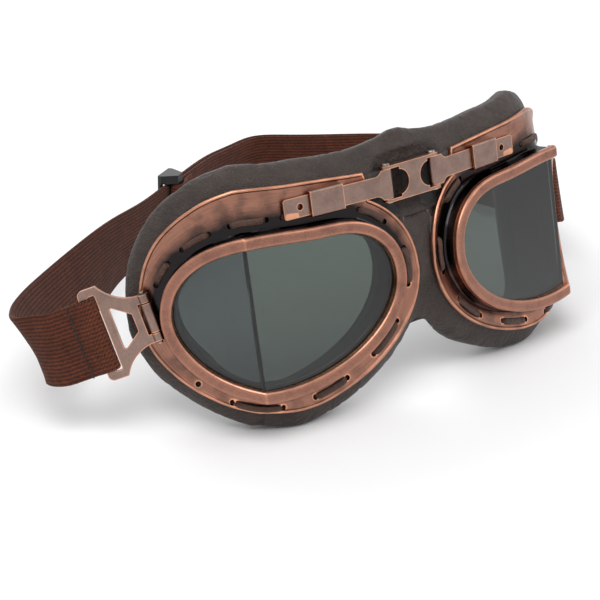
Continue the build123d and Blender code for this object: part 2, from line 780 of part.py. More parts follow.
def tri_glide():
    """The three-bar slide: two bars outside the band and one inside that holds the loop."""
    half = adjuster_length / 2
    inner_half = strap_width / 2 + adjuster_play
    rail = make_face(Polyline((-half, outer_bar_height - adjuster_sheet / 2),
                              (half, outer_bar_height - adjuster_sheet / 2),
                              (half, outer_bar_height + adjuster_sheet / 2),
                              (adjuster_bar, loop_bar_height + adjuster_sheet / 2),
                              (-adjuster_bar, loop_bar_height + adjuster_sheet / 2),
                              (-half, outer_bar_height + adjuster_sheet / 2), close=True))
    rail = Rot(X=90) * extrude(fillet(rail.vertices(), radius=adjuster_round), amount=adjuster_rail / 2, both=True)
    glide = Pos(0, inner_half + adjuster_rail / 2, 0) * rail + Pos(0, -inner_half - adjuster_rail / 2, 0) * rail
    bar = Box(adjuster_bar, 2 * inner_half + adjuster_rail, adjuster_sheet)
    bar = fillet(bar.edges().filter_by(Axis.Y), radius=adjuster_round)
    for along, height in ((adjuster_bar / 2 - half, outer_bar_height), (half - adjuster_bar / 2, outer_bar_height),
                          (0, loop_bar_height)):
        glide += Pos(along, 0, height) * bar
    return adjuster_frame * glide


def adjuster_loop():
    """The sewn end of the return layer round the inner bar."""
    step = loop_bar_height - layer_offset * 3
    loop = folded_loop(adjuster_sheet / 2, -adjuster_bar / 2, adjuster_bar / 2,
                       adjuster_loop_length - adjuster_seam, adjuster_loop_length, -step)
    return adjuster_frame * Pos(0, 0, loop_bar_height) * loop


def strap_return_layer():
    """The inner layer from the left plate back to the adjuster."""
    return webbing(return_start, return_end, return_stations, 2 * layer_offset)


# All pieces, placed and written

def write(name, shape):
    """Write one node."""
    export_step(shape, os.path.join("parts", name + ".step"))
    solids = shape.solids()
    print(name, len(solids), round(sum(s.volume for s in solids), 1))


def main():
    """Build the right-hand pieces, mirror them, and write every node."""
    front_lens, side_lens = lenses()
    sided = {
        "lens_rim": lens_rim(), "front_lens": front_lens, "side_lens": side_lens, "lens_seal": lens_seal(),
        "cup": eye_cup(), "leather_pad": padded(pad_section), "face_cushion": padded(cushion_section),
        "bridge_keeper": bridge_keeper(), "bridge_tongue": bridge_tongue(), "bridge_pin": bridge_pin(),
        "strap_tab": strap_tab(), "strap_pin": strap_pin(), "strap_plate": strap_plate(),
        "strap_loop": strap_loop(),
    }
    for name, shape in sided.items():
        write("right_" + name, resting * shape)
        write("left_" + name, resting * mirror(shape, about=Plane.YZ))
    write("bridge_link", resting * bridge_link())
    write("strap_band", strap_band())
    write("strap_return_layer", strap_return_layer())
    write("tri_glide", tri_glide())
    write("adjuster_loop", adjuster_loop())
    print("bridge pin", world(resting * Pos(bridge_pin_point), 0, 0, 0))
    print("bridge axis", world(resting, 0, 0, 1) - world(resting, 0, 0, 0))
    print("tongue way", world(resting * front_plane.location, -1, 0, 0) - world(resting * front_plane.location, 0, 0, 0))
    print("strap hinge", plate_origin, "axis", plate_up, "plate way", plate_out)
    print("adjuster", adjuster_point, "way", straight_way, "across", adjuster_across)
    print("route", round(route.length, 1), "start", right_start.position)


main()
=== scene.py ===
import math

import bmesh
import bpy
import numpy as np
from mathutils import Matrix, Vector, noise


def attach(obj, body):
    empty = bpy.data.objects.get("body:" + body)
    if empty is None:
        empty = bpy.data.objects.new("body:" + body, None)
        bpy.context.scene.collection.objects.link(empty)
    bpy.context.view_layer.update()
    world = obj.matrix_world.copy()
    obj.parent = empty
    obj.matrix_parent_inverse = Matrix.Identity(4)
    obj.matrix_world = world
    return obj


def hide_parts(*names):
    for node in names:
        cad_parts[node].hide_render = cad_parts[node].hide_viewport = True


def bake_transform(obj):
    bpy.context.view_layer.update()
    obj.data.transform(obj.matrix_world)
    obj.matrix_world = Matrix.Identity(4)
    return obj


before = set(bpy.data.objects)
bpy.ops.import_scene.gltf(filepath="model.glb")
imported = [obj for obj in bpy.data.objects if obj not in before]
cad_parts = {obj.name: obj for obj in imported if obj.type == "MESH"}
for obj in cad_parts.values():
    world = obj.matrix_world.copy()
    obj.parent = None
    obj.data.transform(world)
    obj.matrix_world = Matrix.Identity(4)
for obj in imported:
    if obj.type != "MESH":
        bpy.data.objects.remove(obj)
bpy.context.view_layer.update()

bl_info = {
    "name": "Aviator Goggles",
    "version": (1, 0, 0),
    "blender": (4, 5, 0),
    "location": "View3D > Sidebar > Goggles",
    "description": "Dresses the goggles in aged copper, leather, elastic webbing and smoked glass",
    "category": "Object",
}

MM = 0.001
FLOOR_GAP = 0.2
MIRROR = np.array([-1.0, 1.0, 1.0])
SIDES = (("right", np.ones(3)), ("left", MIRROR))

# The goggles' upright axes, in millimetres: X across, -Y forward, Z up from the lens centres
LEAN = math.radians(11.6)
LENS_CENTRE_HEIGHT = 42.9
FOLD_HALF_SPAN = 70.6
FRONT_TOE = math.radians(7.4)
SIDE_TURN = math.radians(50.0)
MID_TURN = (FRONT_TOE + SIDE_TURN) / 2
HALF_FOLD = (SIDE_TURN - FRONT_TOE) / 2
FRONT_LENS_WIDTH = 55.4
SIDE_LENS_WIDTH = 27.6
LENS_HALF_HEIGHT = 23.1
FRONT_OUTLINE = ((0, 1.0), (0.175, 0.974), (0.50, 0.905), (0.78, 0.82), (0.955, 0.50),
                 (0.995, 0.02), (0.87, -0.50), (0.56, -0.93), (0.22, -1.07), (0, -1.03))
SIDE_OUTLINE = ((0, 1.0), (0.36, 0.92), (0.70, 0.73), (0.95, 0.37), (0.985, -0.06),
                (0.81, -0.46), (0.42, -0.84), (0, -1.03))

# The stamped cup: how far it reaches out, how deep it lies, and how widely it rounds the fold
RIM_WIDTH = 4.2
BROW_DEPTH, FLANGE_DEPTH, FOOT_DEPTH = 6.2, 4.7, 5.7
SHEET = 1.0
BRIDGE_HEIGHT = 31.8
BRIDGE_PIN_Y = -1.05
BROW_WIDTH, BROW_END = 14.3, 50.7
BROW_FALL = math.tan(math.radians(4.6))
TEMPLE_WIDTH, CHIN_WIDTH, CHIN_GAIN, CHIN_RUN = 7.8, 4.8, 2.0, 20.0
BROW_FROM, BROW_EASE, BROW_REACH = 0.5, 0.12, 20.0
FLANGE_FOOT, FLANGE_START, EDGE_WIDTH = 4.7, 4.75, 1.5
FOOT_BEND, MIDDLE_BEND, FLANGE_BEND, PAD_BEND = 8.0, 14.0, 19.0, 22.0
RELIEF_REACH, CHIN_WEAR = 14.0, 0.5

# The cup's section: out from the lens edge, back from the front (the wall's from the flange's foot,
# the rolled edge's from the flange's own edge), and the bend there
SEAT_SECTION = ((-0.5, 5.3, 0), (1.5, 4.5, 0), (1.5, 2.1, 0), (3.6, 2.1, 0), (3.8, 3.0, 2))
WALL_SECTION = ((4.15, -1.0, 5), (4.4, -0.35, 7), (4.75, -0.05, 8))
ROLLED_EDGE = ((1.28, 0.08), (1.1, 0.3), (0.9, 0.52), (0.62, 0.6), (0.34, 0.54), (0.12, 0.34),
               (0.0, 0.0), (-0.02, -0.4), (0.06, -0.8), (0.3, -1.0))
BACK_SECTION = ((3.0, 6.3, 0), (-0.5, 6.3, 0))
FLANGE_STEPS = 9

# Lacing holes, as shares of each lens edge from the fold's top to its bottom
FRONT_HOLES = (0.087, 0.13, 0.18, 0.205, 0.25, 0.335, 0.395, 0.455,
               0.52, 0.592, 0.678, 0.76, 0.85, 0.94)
SIDE_HOLES = (0.04, 0.14, 0.245, 0.31, 0.385, 0.74, 0.88)
LACE_OUT, HOLE_RADIUS = 3.6, 0.95
PUNCH_FROM, PUNCH_TO = 3.0, -4.0
LACE_HALF_WIDTH, LACE_HALF_THICK, LACE_DIP = 1.1, 0.55, 1.9

# The leather pad, the hollow that it leaves for the nose, and the cushion behind it
PAD_GAP, PAD_OUT, PAD_SHOULDER = 0.3, 6.6, 3.2
PAD_WIDEST, PAD_TURN, PAD_BACK, PAD_INSIDE = 13.5, 16.5, 17.6, 2.0
PAD_DROP, PAD_NOSE_DROP = 2.9, 2.2
CROWN_OUT, CROWN_RISE, TURN_RISE, BACK_RISE = 0.78, 0.8, 0.96, 0.9
DIMPLE_GRAIN, CREASE_GRAIN = (11, 11, 11), (7, 26, 5)
DIMPLE, CREASE = 0.5, 0.38
SADDLE_RISE = 29.5
NOSE_LOW_RADIUS, NOSE_HIGH_RADIUS, NOSE_BACK = 18.0, 4.2, 19.0
DENT_BACK, DENT_HALF_WIDTH, DENT_HALF_HEIGHT, DENT_EASE = 3.3, 13.2, 9.0, 4.0
NOSE_CUT, CUSHION_CUT = 5.0, 0.6
NOSE_TUCKS = ((3.8, 1.6), (1.7, 0.6))
NOSE_REACH, NOSE_PUCKER, PUCKERS_PER_MM = 13.0, 0.5, (0.35, 0.10, 0.22)
LINED_FROM = 36
CUSHION_START, CUSHION_CROWN, CUSHION_INSIDE, CUSHION_INSET = 17.85, 5.0, 2.6, 1.2

# The strap plates' own frame on the right, and the strap's route as shares of its depth
PLATE_ORIGIN = np.array([-91.5135, 28.0743, 41.0164])
PLATE_OUT = np.array([-0.749820, 0.566173, -0.342371])
PLATE_UP = np.array([-0.1445958, 0.3647272, 0.9198185])
PLATE_FRONT = np.cross(PLATE_OUT, -PLATE_UP)
LOOP_DEPTH = 187.2
TURN = ((-0.6319, 0.2644, 0.1560), (-0.6368, 0.2911, 0.1512), (-0.6229, 0.3237, 0.1496))
TURN_UP = np.array([-0.204, 0.604, 0.771])
RIGHT_RUN = ((-0.5796, 0.3729, 0.1458), (-0.4786, 0.4583, 0.1341), (-0.3424, 0.5614, 0.1234),
             (-0.2073, 0.6608, 0.1127))
STRAIGHT = ((-0.0748, 0.7425, 0.0990), (0.1282, 0.8707, 0.0850))
BACK_RUN = ((0.2415, 0.9400, 0.0730), (0.3300, 0.9790, 0.0650), (0.4060, 0.9930, 0.0640),
            (0.4720, 0.9500, 0.0640), (0.5600, 0.8820, 0.0640), (0.6450, 0.8000, 0.0665),
            (0.6960, 0.7000, 0.0740), (0.7100, 0.5900, 0.0850), (0.6990, 0.4600, 0.1020),
            (0.6800, 0.3700, 0.1200))
STRAP_WIDTH, STRAP_THICK, SELVEDGE = 24.8, 1.8, 0.9
LAYER = 1.0
LOOP_END, LOOP_SEAM, LOOP_RUN = 27.0, 24.0, 21
BAR_MIDDLE, BAR_FAR, BAR_HALF = 17.56, 20.1, 0.6
ADJUSTER_LOOP, ADJUSTER_MIDDLE, ADJUSTER_HALF = 14.0, -0.72, 0.8
WRAP_GAP = 0.2
STRAP_STEP, LOOP_STEPS = 1.6, 46
TURNED_SHARE, HELD_SHARE, HELD_EASE, END_SHARE = 0.045, 0.34, 0.24, 0.008
STITCHES, STITCH_PITCH, STITCH_RADIUS = 12, 2.1, 0.36
CORD_SPACING, WEFT_SPACING, WEFT_SLANT = 1.3, 1.5, 1.3
SLACK_FROM, SLACK_TO = 22, 12
PEBBLE = 0.6

# The lengths of the band: name, its shares of the route, the body at its start and, where it bends
# from one to another, the body at its end
STRETCHES = (("right_end", 0.0, 0.16, "right_plate", "right_eye"),
             ("right_side", 0.16, 0.24, "right_eye", "right_tongue"),
             ("right_back", 0.24, 0.355, "right_tongue", "bridge"),
             ("middle", 0.355, 0.62, "bridge", None),
             ("left_back", 0.62, 0.76, "bridge", "left_tongue"),
             ("left_side", 0.76, 0.84, "left_tongue", "left_eye"),
             ("left_end", 0.84, 1.0, "left_eye", "left_plate"))

# The photograph's side and the place of the goggles' middle in it, in pixels, the camera's sensor in
# millimetres, and the board and light panels (name, place, size, watts) in metres
IMAGE_SIDE = 600
AIM = (419.0, 267.8)
SENSOR = 36
BOARD_MIDDLE, BOARD_FADE = (0.0, 0.08, 0.0), (0.26, 0.7)
PANELS = (("key_panel", (-0.55, -0.35, 1.15), 0.9, 11.0),
          ("fill_panel", (0.9, -0.8, 0.8), 0.8, 4.0),
          ("back_panel", (0.2, 1.1, 0.9), 0.9, 6.0))


# ---------------------------------------------------------------- geometry

def unit(vectors):
    vectors = np.asarray(vectors, float)
    return vectors / np.maximum(np.linalg.norm(vectors, axis=-1, keepdims=True), 1e-12)


def row_frame(points):
    """Upright goggles' axes in millimetres to the row frame in metres."""
    x, y, z = np.moveaxis(np.asarray(points, float), -1, 0)
    back = y * math.cos(LEAN) + z * math.sin(LEAN)
    up = -y * math.sin(LEAN) + z * math.cos(LEAN) + LENS_CENTRE_HEIGHT
    return np.stack([x, back, up], axis=-1) * MM


def run_along(points):
    """The length run up to each point of a line."""
    return np.concatenate([[0], np.cumsum(np.linalg.norm(np.diff(points, axis=0), axis=1))])


def curve_through(points):
    """A smooth curve through points, as a function from shares of its length to places."""
    p = np.array(points, float)
    h = np.linalg.norm(np.diff(p, axis=0), axis=1)
    t = run_along(p)
    n = len(p)
    a, b = np.zeros((n, n)), np.zeros(p.shape)
    a[0, 0] = a[-1, -1] = 1
    for i in range(1, n - 1):
        a[i, i - 1:i + 2] = h[i - 1], 2 * (h[i - 1] + h[i]), h[i]
        b[i] = 6 * ((p[i + 1] - p[i]) / h[i] - (p[i] - p[i - 1]) / h[i - 1])
    m = np.linalg.solve(a, b)

    def at(u):
        i = np.clip(np.searchsorted(t, u, side="right") - 1, 0, n - 2)
        w, v = ((t[i + 1] - u) / h[i])[:, None], ((u - t[i]) / h[i])[:, None]
        bow = ((w ** 3 - w) * m[i] + (v ** 3 - v) * m[i + 1]) * h[i][:, None] ** 2 / 6
        return w * p[i] + v * p[i + 1] + bow

    fine = np.linspace(0, t[-1], 4001)
    run = run_along(at(fine))

    def place(shares):
        return at(np.interp(np.atleast_1d(shares) * run[-1], run, fine))

    place.length = run[-1]
    return place


def heading(curve, shares):
    return unit(curve(np.clip(shares + 1e-4, 0, 1)) - curve(np.clip(shares - 1e-4, 0, 1)))


def lens_outline(shares, width):
    return curve_through([(x * width, z * LENS_HALF_HEIGHT) for x, z in shares])


# Each lens edge with the way that it runs round and its lacing holes
FRONT = (lens_outline(FRONT_OUTLINE, FRONT_LENS_WIDTH), 1, FRONT_HOLES)
SIDE = (lens_outline(SIDE_OUTLINE, -SIDE_LENS_WIDTH), -1, SIDE_HOLES)


def edge_stations(lens, shares):
    """Flat points of a lens edge and their outward directions, from fold top to fold bottom."""
    edge, way, _ = lens
    shares = np.asarray(shares, float)
    tangent = heading(edge, shares)
    outward = np.stack([-tangent[:, 1], tangent[:, 0]], axis=1) * way
    outward[shares <= 0] = (0, 1)
    outward[shares >= 1] = (0, -1)
    return edge(shares), outward


def joined(first, second):
    return [np.concatenate(pair) for pair in zip(first, second)]


def ring_stations(front_count, side_count):
    """Stations all round one eye: down the front lens's nose side, back up the temple side."""
    return joined(edge_stations(FRONT, np.linspace(0, 1, front_count + 1)),
                  edge_stations(SIDE, np.linspace(1, 0, side_count + 1)[1:-1]))


def folded(along, up, depth, bend):
    """Points of the folded front in the upright axes, rounded within a bend of the fold."""
    along, up, depth, bend = np.broadcast_arrays(
        *(np.asarray(values, float) for values in (along, up, depth, bend)))
    bend = np.maximum(bend, 1e-6)

    def flat(turn):
        return np.stack([along * math.cos(turn) + depth * math.sin(turn) - FOLD_HALF_SPAN,
                         depth * math.cos(turn) - along * math.sin(turn), up], axis=-1)

    straight = np.where((along > 0)[..., None], flat(FRONT_TOE), flat(SIDE_TURN))
    radius = bend / math.tan(HALF_FOLD)
    reach = radius / math.cos(HALF_FOLD)
    turn = MID_TURN - along / bend * HALF_FOLD
    x = math.sin(MID_TURN) * reach - np.sin(turn) * (radius - depth) - FOLD_HALF_SPAN
    y = math.cos(MID_TURN) * reach - np.cos(turn) * (radius - depth)
    rounded = np.stack([x, y, up], axis=-1)
    return np.where((np.abs(along) < bend)[..., None], rounded, straight)


def set_out(point, outward, out, depth, bend, rise=0.0):
    """Places this far out from the lens edge and this deep behind the folded front."""
    return folded(point[..., 0] + outward[..., 0] * out,
                  point[..., 1] + outward[..., 1] * out + rise, depth, bend)


def smooth_step(value):
    value = np.clip(value, 0, 1)
    return value * value * (3 - 2 * value)


def flange_width(point, outward):
    """How far the flange reaches past the rim; over the brow it ends on a straight line."""
    lift, drop = np.maximum(outward[:, 1], 0) ** 2, np.maximum(-outward[:, 1], 0) ** 2
    chin = CHIN_WIDTH + CHIN_GAIN * np.clip(point[:, 0] / CHIN_RUN, 0, 1)
    width = TEMPLE_WIDTH + (BROW_WIDTH - TEMPLE_WIDTH) * lift + (chin - TEMPLE_WIDTH) * drop
    below = LENS_HALF_HEIGHT + RIM_WIDTH + BROW_WIDTH - BROW_FALL * point[:, 0] - point[:, 1]
    reach = below / np.maximum(outward[:, 1] + BROW_FALL * outward[:, 0], 0.5)
    on_brow = smooth_step((outward[:, 1] - BROW_FROM) / BROW_EASE) * (point[:, 0] > 0)
    return width + (np.minimum(reach - RIM_WIDTH, BROW_REACH) - width) * on_brow


def flange_depths(outward):
    """How deep the flange's foot and edge lie, level with each other over the brow."""
    brow = np.minimum(np.maximum(outward[:, 1], 0) / 0.8, 1) ** 2
    return [depth + (BROW_DEPTH - depth) * brow for depth in (FOOT_DEPTH, FLANGE_DEPTH)]


def above_nose(point, outward):
    return (point[:, 0] > 0) & (outward[:, 0] > 0) & (outward[:, 1] > 0)


def cup_width(point, outward):
    """The cup's flange, with the brow plate cut off square beside the nose."""
    square = (BROW_END - point[:, 0]) / np.maximum(outward[:, 0], 1e-3) - RIM_WIDTH
    limit = np.where(above_nose(point, outward), np.maximum(square, 7.6), 1e3)
    return np.minimum(flange_width(point, outward), limit)


def flange_place(point, outward, out, lift):
    """A place on the cup's flange, lifted off its front."""
    edge = RIM_WIDTH + flange_width(point, outward) - 1.3
    foot, depth = flange_depths(outward)
    share = np.clip((out - FLANGE_FOOT) / (edge - FLANGE_FOOT), 0, 1)
    return set_out(point, outward, out, foot + (depth - foot) * share - lift,
                   FOOT_BEND + (FLANGE_BEND - FOOT_BEND) * share)


def even_loop(values, window):
    """Values round a loop, each the mean of its neighbours."""
    around = range(-window, window + 1)
    return sum(np.roll(values, k, axis=0) for k in around) / len(around)


def eased_fold(point, outward):
    """Outward directions that swing over gradually where the front and side outlines meet."""
    near = smooth_step((20 - np.abs(point[:, 0])) / 8)[:, None]
    window = len(point) // 36
    return unit(outward + (even_loop(even_loop(outward, window), window // 2) - outward) * near)


def pad_rise(point, outward):
    """The mask's rise to its saddle between the cups."""
    rise = SADDLE_RISE * np.abs(outward[:, 0]) ** 3 * np.minimum(np.abs(outward[:, 1]) / 0.35, 1)
    return np.where(above_nose(point, outward), rise, 0)


def arc_points(start, middle, end, count):
    """A quadratic curve through three points, without its last point."""
    start, middle, end = (np.asarray(point, float) for point in (start, middle, end))
    pull = 2 * middle - (start + end) / 2
    return [tuple((1 - s) ** 2 * start + 2 * s * (1 - s) * pull + s * s * end)
            for s in np.linspace(0, 1, count, endpoint=False)]


def sized(places):
    return [np.array(place) * LOOP_DEPTH for place in places]


STRAIGHT_START, STRAIGHT_END = sized(STRAIGHT)
LEAD = [PLATE_ORIGIN + PLATE_OUT * (LOOP_END + 2.0 * i) + PLATE_FRONT * LAYER for i in range(3)]
ROUTE = curve_through(LEAD + sized(TURN + RIGHT_RUN)
                      + [STRAIGHT_START + (STRAIGHT_END - STRAIGHT_START) * i / 5 for i in range(6)]
                      + sized(BACK_RUN) + [place * MIRROR for place in LEAD[::-1]])
ADJUSTER = (STRAIGHT_START + STRAIGHT_END) / 2
TRIED = np.linspace(0, 1, 4001)
ADJUSTER_SHARE = TRIED[np.argmin(np.linalg.norm(ROUTE(TRIED) - ADJUSTER, axis=1))]
RETURN_START = ADJUSTER_SHARE + (ADJUSTER_LOOP + 0.35) / ROUTE.length


def across_strap(shares, way):
    """The direction across the webbing: along the plates at the ends, upright at the back."""
    from_end = np.minimum(shares, 1 - shares)
    turned = smooth_step(from_end / TURNED_SHARE)[:, None]
    side = PLATE_UP * (1 - turned) + unit(TURN_UP) * turned
    side = np.where((shares > 0.5)[:, None], side * MIRROR, side)
    held = smooth_step((HELD_SHARE - from_end) / HELD_EASE)[:, None]
    across = unit(side * held + np.array([0, 0, 1.0]) * (1 - held))
    return unit(across - way * np.sum(across * way, axis=1)[:, None])


def route_line(start, end, inward=0.0):
    """Centres and across directions of the webbing between two shares of its route."""
    count = max(3, int((end - start) * ROUTE.length / STRAP_STEP))
    shares = np.linspace(start, end, count + 1)
    way = heading(ROUTE, shares)
    across = across_strap(shares, way)
    return ROUTE(shares) + np.cross(way, across) * inward, across


def bar_turn(middle, radius, side):
    """Half a turn round a bar, from one face of the webbing to the other."""
    return [(middle - radius * math.sin(a), side * radius * math.cos(a))
            for a in np.radians(range(0, 181, 30))]


def loop_line(places, origin, along, front, across):
    """Centres and across directions of webbing drawn side on in a plane."""
    line = curve_through(places)(np.linspace(0, 1, LOOP_STEPS))
    return origin + line @ np.array([along, front]), np.tile(across, (LOOP_STEPS, 1))


def plate_loop_line():
    """The webbing from its cut end, round the strap plate's outer bar and back over itself."""
    radius = BAR_HALF + WRAP_GAP + STRAP_THICK / 2
    half = [(LOOP_END, -LAYER), (LOOP_SEAM + 1.0, -LAYER), (LOOP_SEAM - 1.2, -LAYER - 0.1),
            (BAR_FAR + 0.6, -radius + 0.1), (BAR_MIDDLE + 1.3, -radius)]
    places = half + bar_turn(BAR_MIDDLE, radius, -1) + [(x, -z) for x, z in reversed(half)]
    return loop_line(places, PLATE_ORIGIN, PLATE_OUT, PLATE_FRONT, PLATE_UP)


def adjuster_loop_line():
    """The return layer's end, sewn round the inner bar of the adjuster."""
    radius = ADJUSTER_HALF + WRAP_GAP + STRAP_THICK / 2
    high = 2 * LAYER + radius
    low = 2 * LAYER - high
    places = [(ADJUSTER_LOOP, 0.05), (10.5, 0.05), (7.5, 0.35), (3.2, radius - 0.35), (0.6, radius)]
    places += bar_turn(ADJUSTER_MIDDLE, radius, 1)
    places += [(0.6, -radius), (3.2, -radius), (7.5, low), (10.5, low), (ADJUSTER_LOOP + 0.35, low)]
    way = unit(STRAIGHT_END - STRAIGHT_START)
    across = across_strap(np.array([ADJUSTER_SHARE]), way[None])[0]
    inward = np.cross(way, across)
    return loop_line(places, ADJUSTER + inward * high, way, inward, across)


# ------------------------------------------------------------------ meshes

def mesh_object(name, points, faces, smooth=True):
    """A mesh piece from points in the row frame."""
    mesh = bpy.data.meshes.new(name)
    mesh.from_pydata([tuple(p) for p in points], [], faces)
    mesh.update()
    if smooth:
        mesh.polygons.foreach_set("use_smooth", [True] * len(mesh.polygons))
    piece = bpy.data.objects.new(name, mesh)
    bpy.context.scene.collection.objects.link(piece)
    return piece


def ring_faces(rows, columns, closed=False):
    """Quads between rings of points kept ring by ring, the last joined to the first if closed."""
    return [(i * columns + j, i * columns + (j + 1) % columns,
             (i + 1) % rows * columns + (j + 1) % columns, (i + 1) % rows * columns + j)
            for i in range(rows if closed else rows - 1) for j in range(columns)]


def outward_normals(piece):
    """Turn a closed piece's faces to point outward."""
    shape = bmesh.new()
    shape.from_mesh(piece.data)
    bmesh.ops.recalc_face_normals(shape, faces=shape.faces)
    shape.to_mesh(piece.data)
    shape.free()


def ring_piece(name, rows):
    """A piece whose sections close on themselves and run all round an eye."""
    piece = mesh_object(name, row_frame(rows.reshape(-1, 3)), ring_faces(*rows.shape[:2], True))
    outward_normals(piece)
    return piece


def tubes_piece(name, tubes, smooth=True):
    """One piece of closed tubes, each given as its rings of points in the row frame."""
    points, faces = [], []
    for rings in tubes:
        rows, columns = rings.shape[:2]
        first, last = len(points), len(points) + (rows - 1) * columns
        faces += [tuple(first + v for v in face) for face in ring_faces(rows, columns)]
        faces += [tuple(range(first, first + columns)), tuple(range(last, last + columns))[::-1]]
        points += list(rings.reshape(-1, 3))
    piece = mesh_object(name, points, faces, smooth)
    outward_normals(piece)
    return piece


def give_uv(piece, places, name="UVMap"):
    """A UV for each vertex, in real millimetres unless it is a share."""
    layer = piece.data.uv_layers.new(name=name)
    index = np.zeros(len(piece.data.loops), int)
    piece.data.loops.foreach_get("vertex_index", index)
    layer.data.foreach_set("uv", np.asarray(places, float)[index].ravel())


def ribbon(name, centres, across, start_along):
    """Webbing with rounded selvedges along a line, its UV in millimetres."""
    normal = np.cross(unit(np.gradient(centres, axis=0)), across)
    half, thick = STRAP_WIDTH / 2 - SELVEDGE, STRAP_THICK / 2
    turn = [(SELVEDGE * math.cos(a), thick * math.sin(a)) for a in np.radians((60, 25, 0, -25, -60))]
    flat = [(u, thick * (0.93 if abs(u) < half else 0.97)) for u in np.linspace(-half, half, 13)]
    profile = flat + [(half + u, v) for u, v in turn]
    profile += [(u, -v) for u, v in reversed(flat)] + [(-half - u, -v) for u, v in turn]
    u, v = np.array(profile).T[:, :, None]
    points = centres[:, None] + across[:, None] * u + normal[:, None] * v
    points[..., 2] = np.maximum(points[..., 2], FLOOR_GAP)
    run = run_along(centres)
    piece = tubes_piece(name, [points * MM])
    give_uv(piece, [(start_along + x, y) for x in run for y, _ in profile])
    piece.data.set_sharp_from_angle(angle=math.radians(60))
    return piece, run[-1]


# --------------------------------------------------------------- materials

def srgb(value):
    """A hex colour as linear RGBA."""
    parts = [int(value[i:i + 2], 16) / 255 for i in (1, 3, 5)]
    return tuple(c / 12.92 if c <= 0.04045 else ((c + 0.055) / 1.055) ** 2.4 for c in parts) + (1.0,)


def fill(tree, made, inputs):
    """Set or link a node's inputs, given by name or in their own order."""
    for name, value in inputs.items() if isinstance(inputs, dict) else enumerate(inputs):
        socket = made.inputs[name]
        if isinstance(value, bpy.types.NodeSocket):
            tree.links.new(value, socket)
        else:
            socket.default_value = value


def node(tree, kind, output=None, settings=None, inputs=(), stops=()):
    """Add one shader node with its settings, its inputs and, on a ramp, its places and hex colours.
    Gives the output that is asked for, or else the node itself."""
    made = tree.nodes.new("ShaderNode" + kind)
    for name, value in (settings or {}).items():
        setattr(made, name, value)
    fill(tree, made, inputs)
    if stops:
        elements = made.color_ramp.elements
        while len(elements) < len(stops):
            elements.new(0.5)
        for element, (place, value) in zip(elements, stops):
            element.position, element.color = place, srgb(value)
    return made.outputs[output] if output else made


def blank_material(name):
    material = bpy.data.materials.new(name)
    material.use_nodes = True
    tree = material.node_tree
    tree.nodes.clear()
    surface = node(tree, "BsdfPrincipled")
    output = node(tree, "OutputMaterial", inputs={"Surface": surface.outputs["BSDF"]})
    return material, tree, surface, output


def grained_noise(tree, place, grain, detail):
    """Noise whose grains have these sizes along the axes of the place."""
    scaled = node(tree, "VectorMath", "Vector", {"operation": "MULTIPLY"},
                  (place, tuple(1 / size for size in grain)))
    return node(tree, "TexNoise", "Fac", None, {"Vector": scaled, "Scale": 1.0, "Detail": detail})


def stretched_noise(tree, grain, detail):
    """Noise whose grains have these sizes in millimetres along X, Y and Z."""
    place = node(tree, "TexCoord", "Object")
    return grained_noise(tree, place, [size * MM for size in grain], detail)


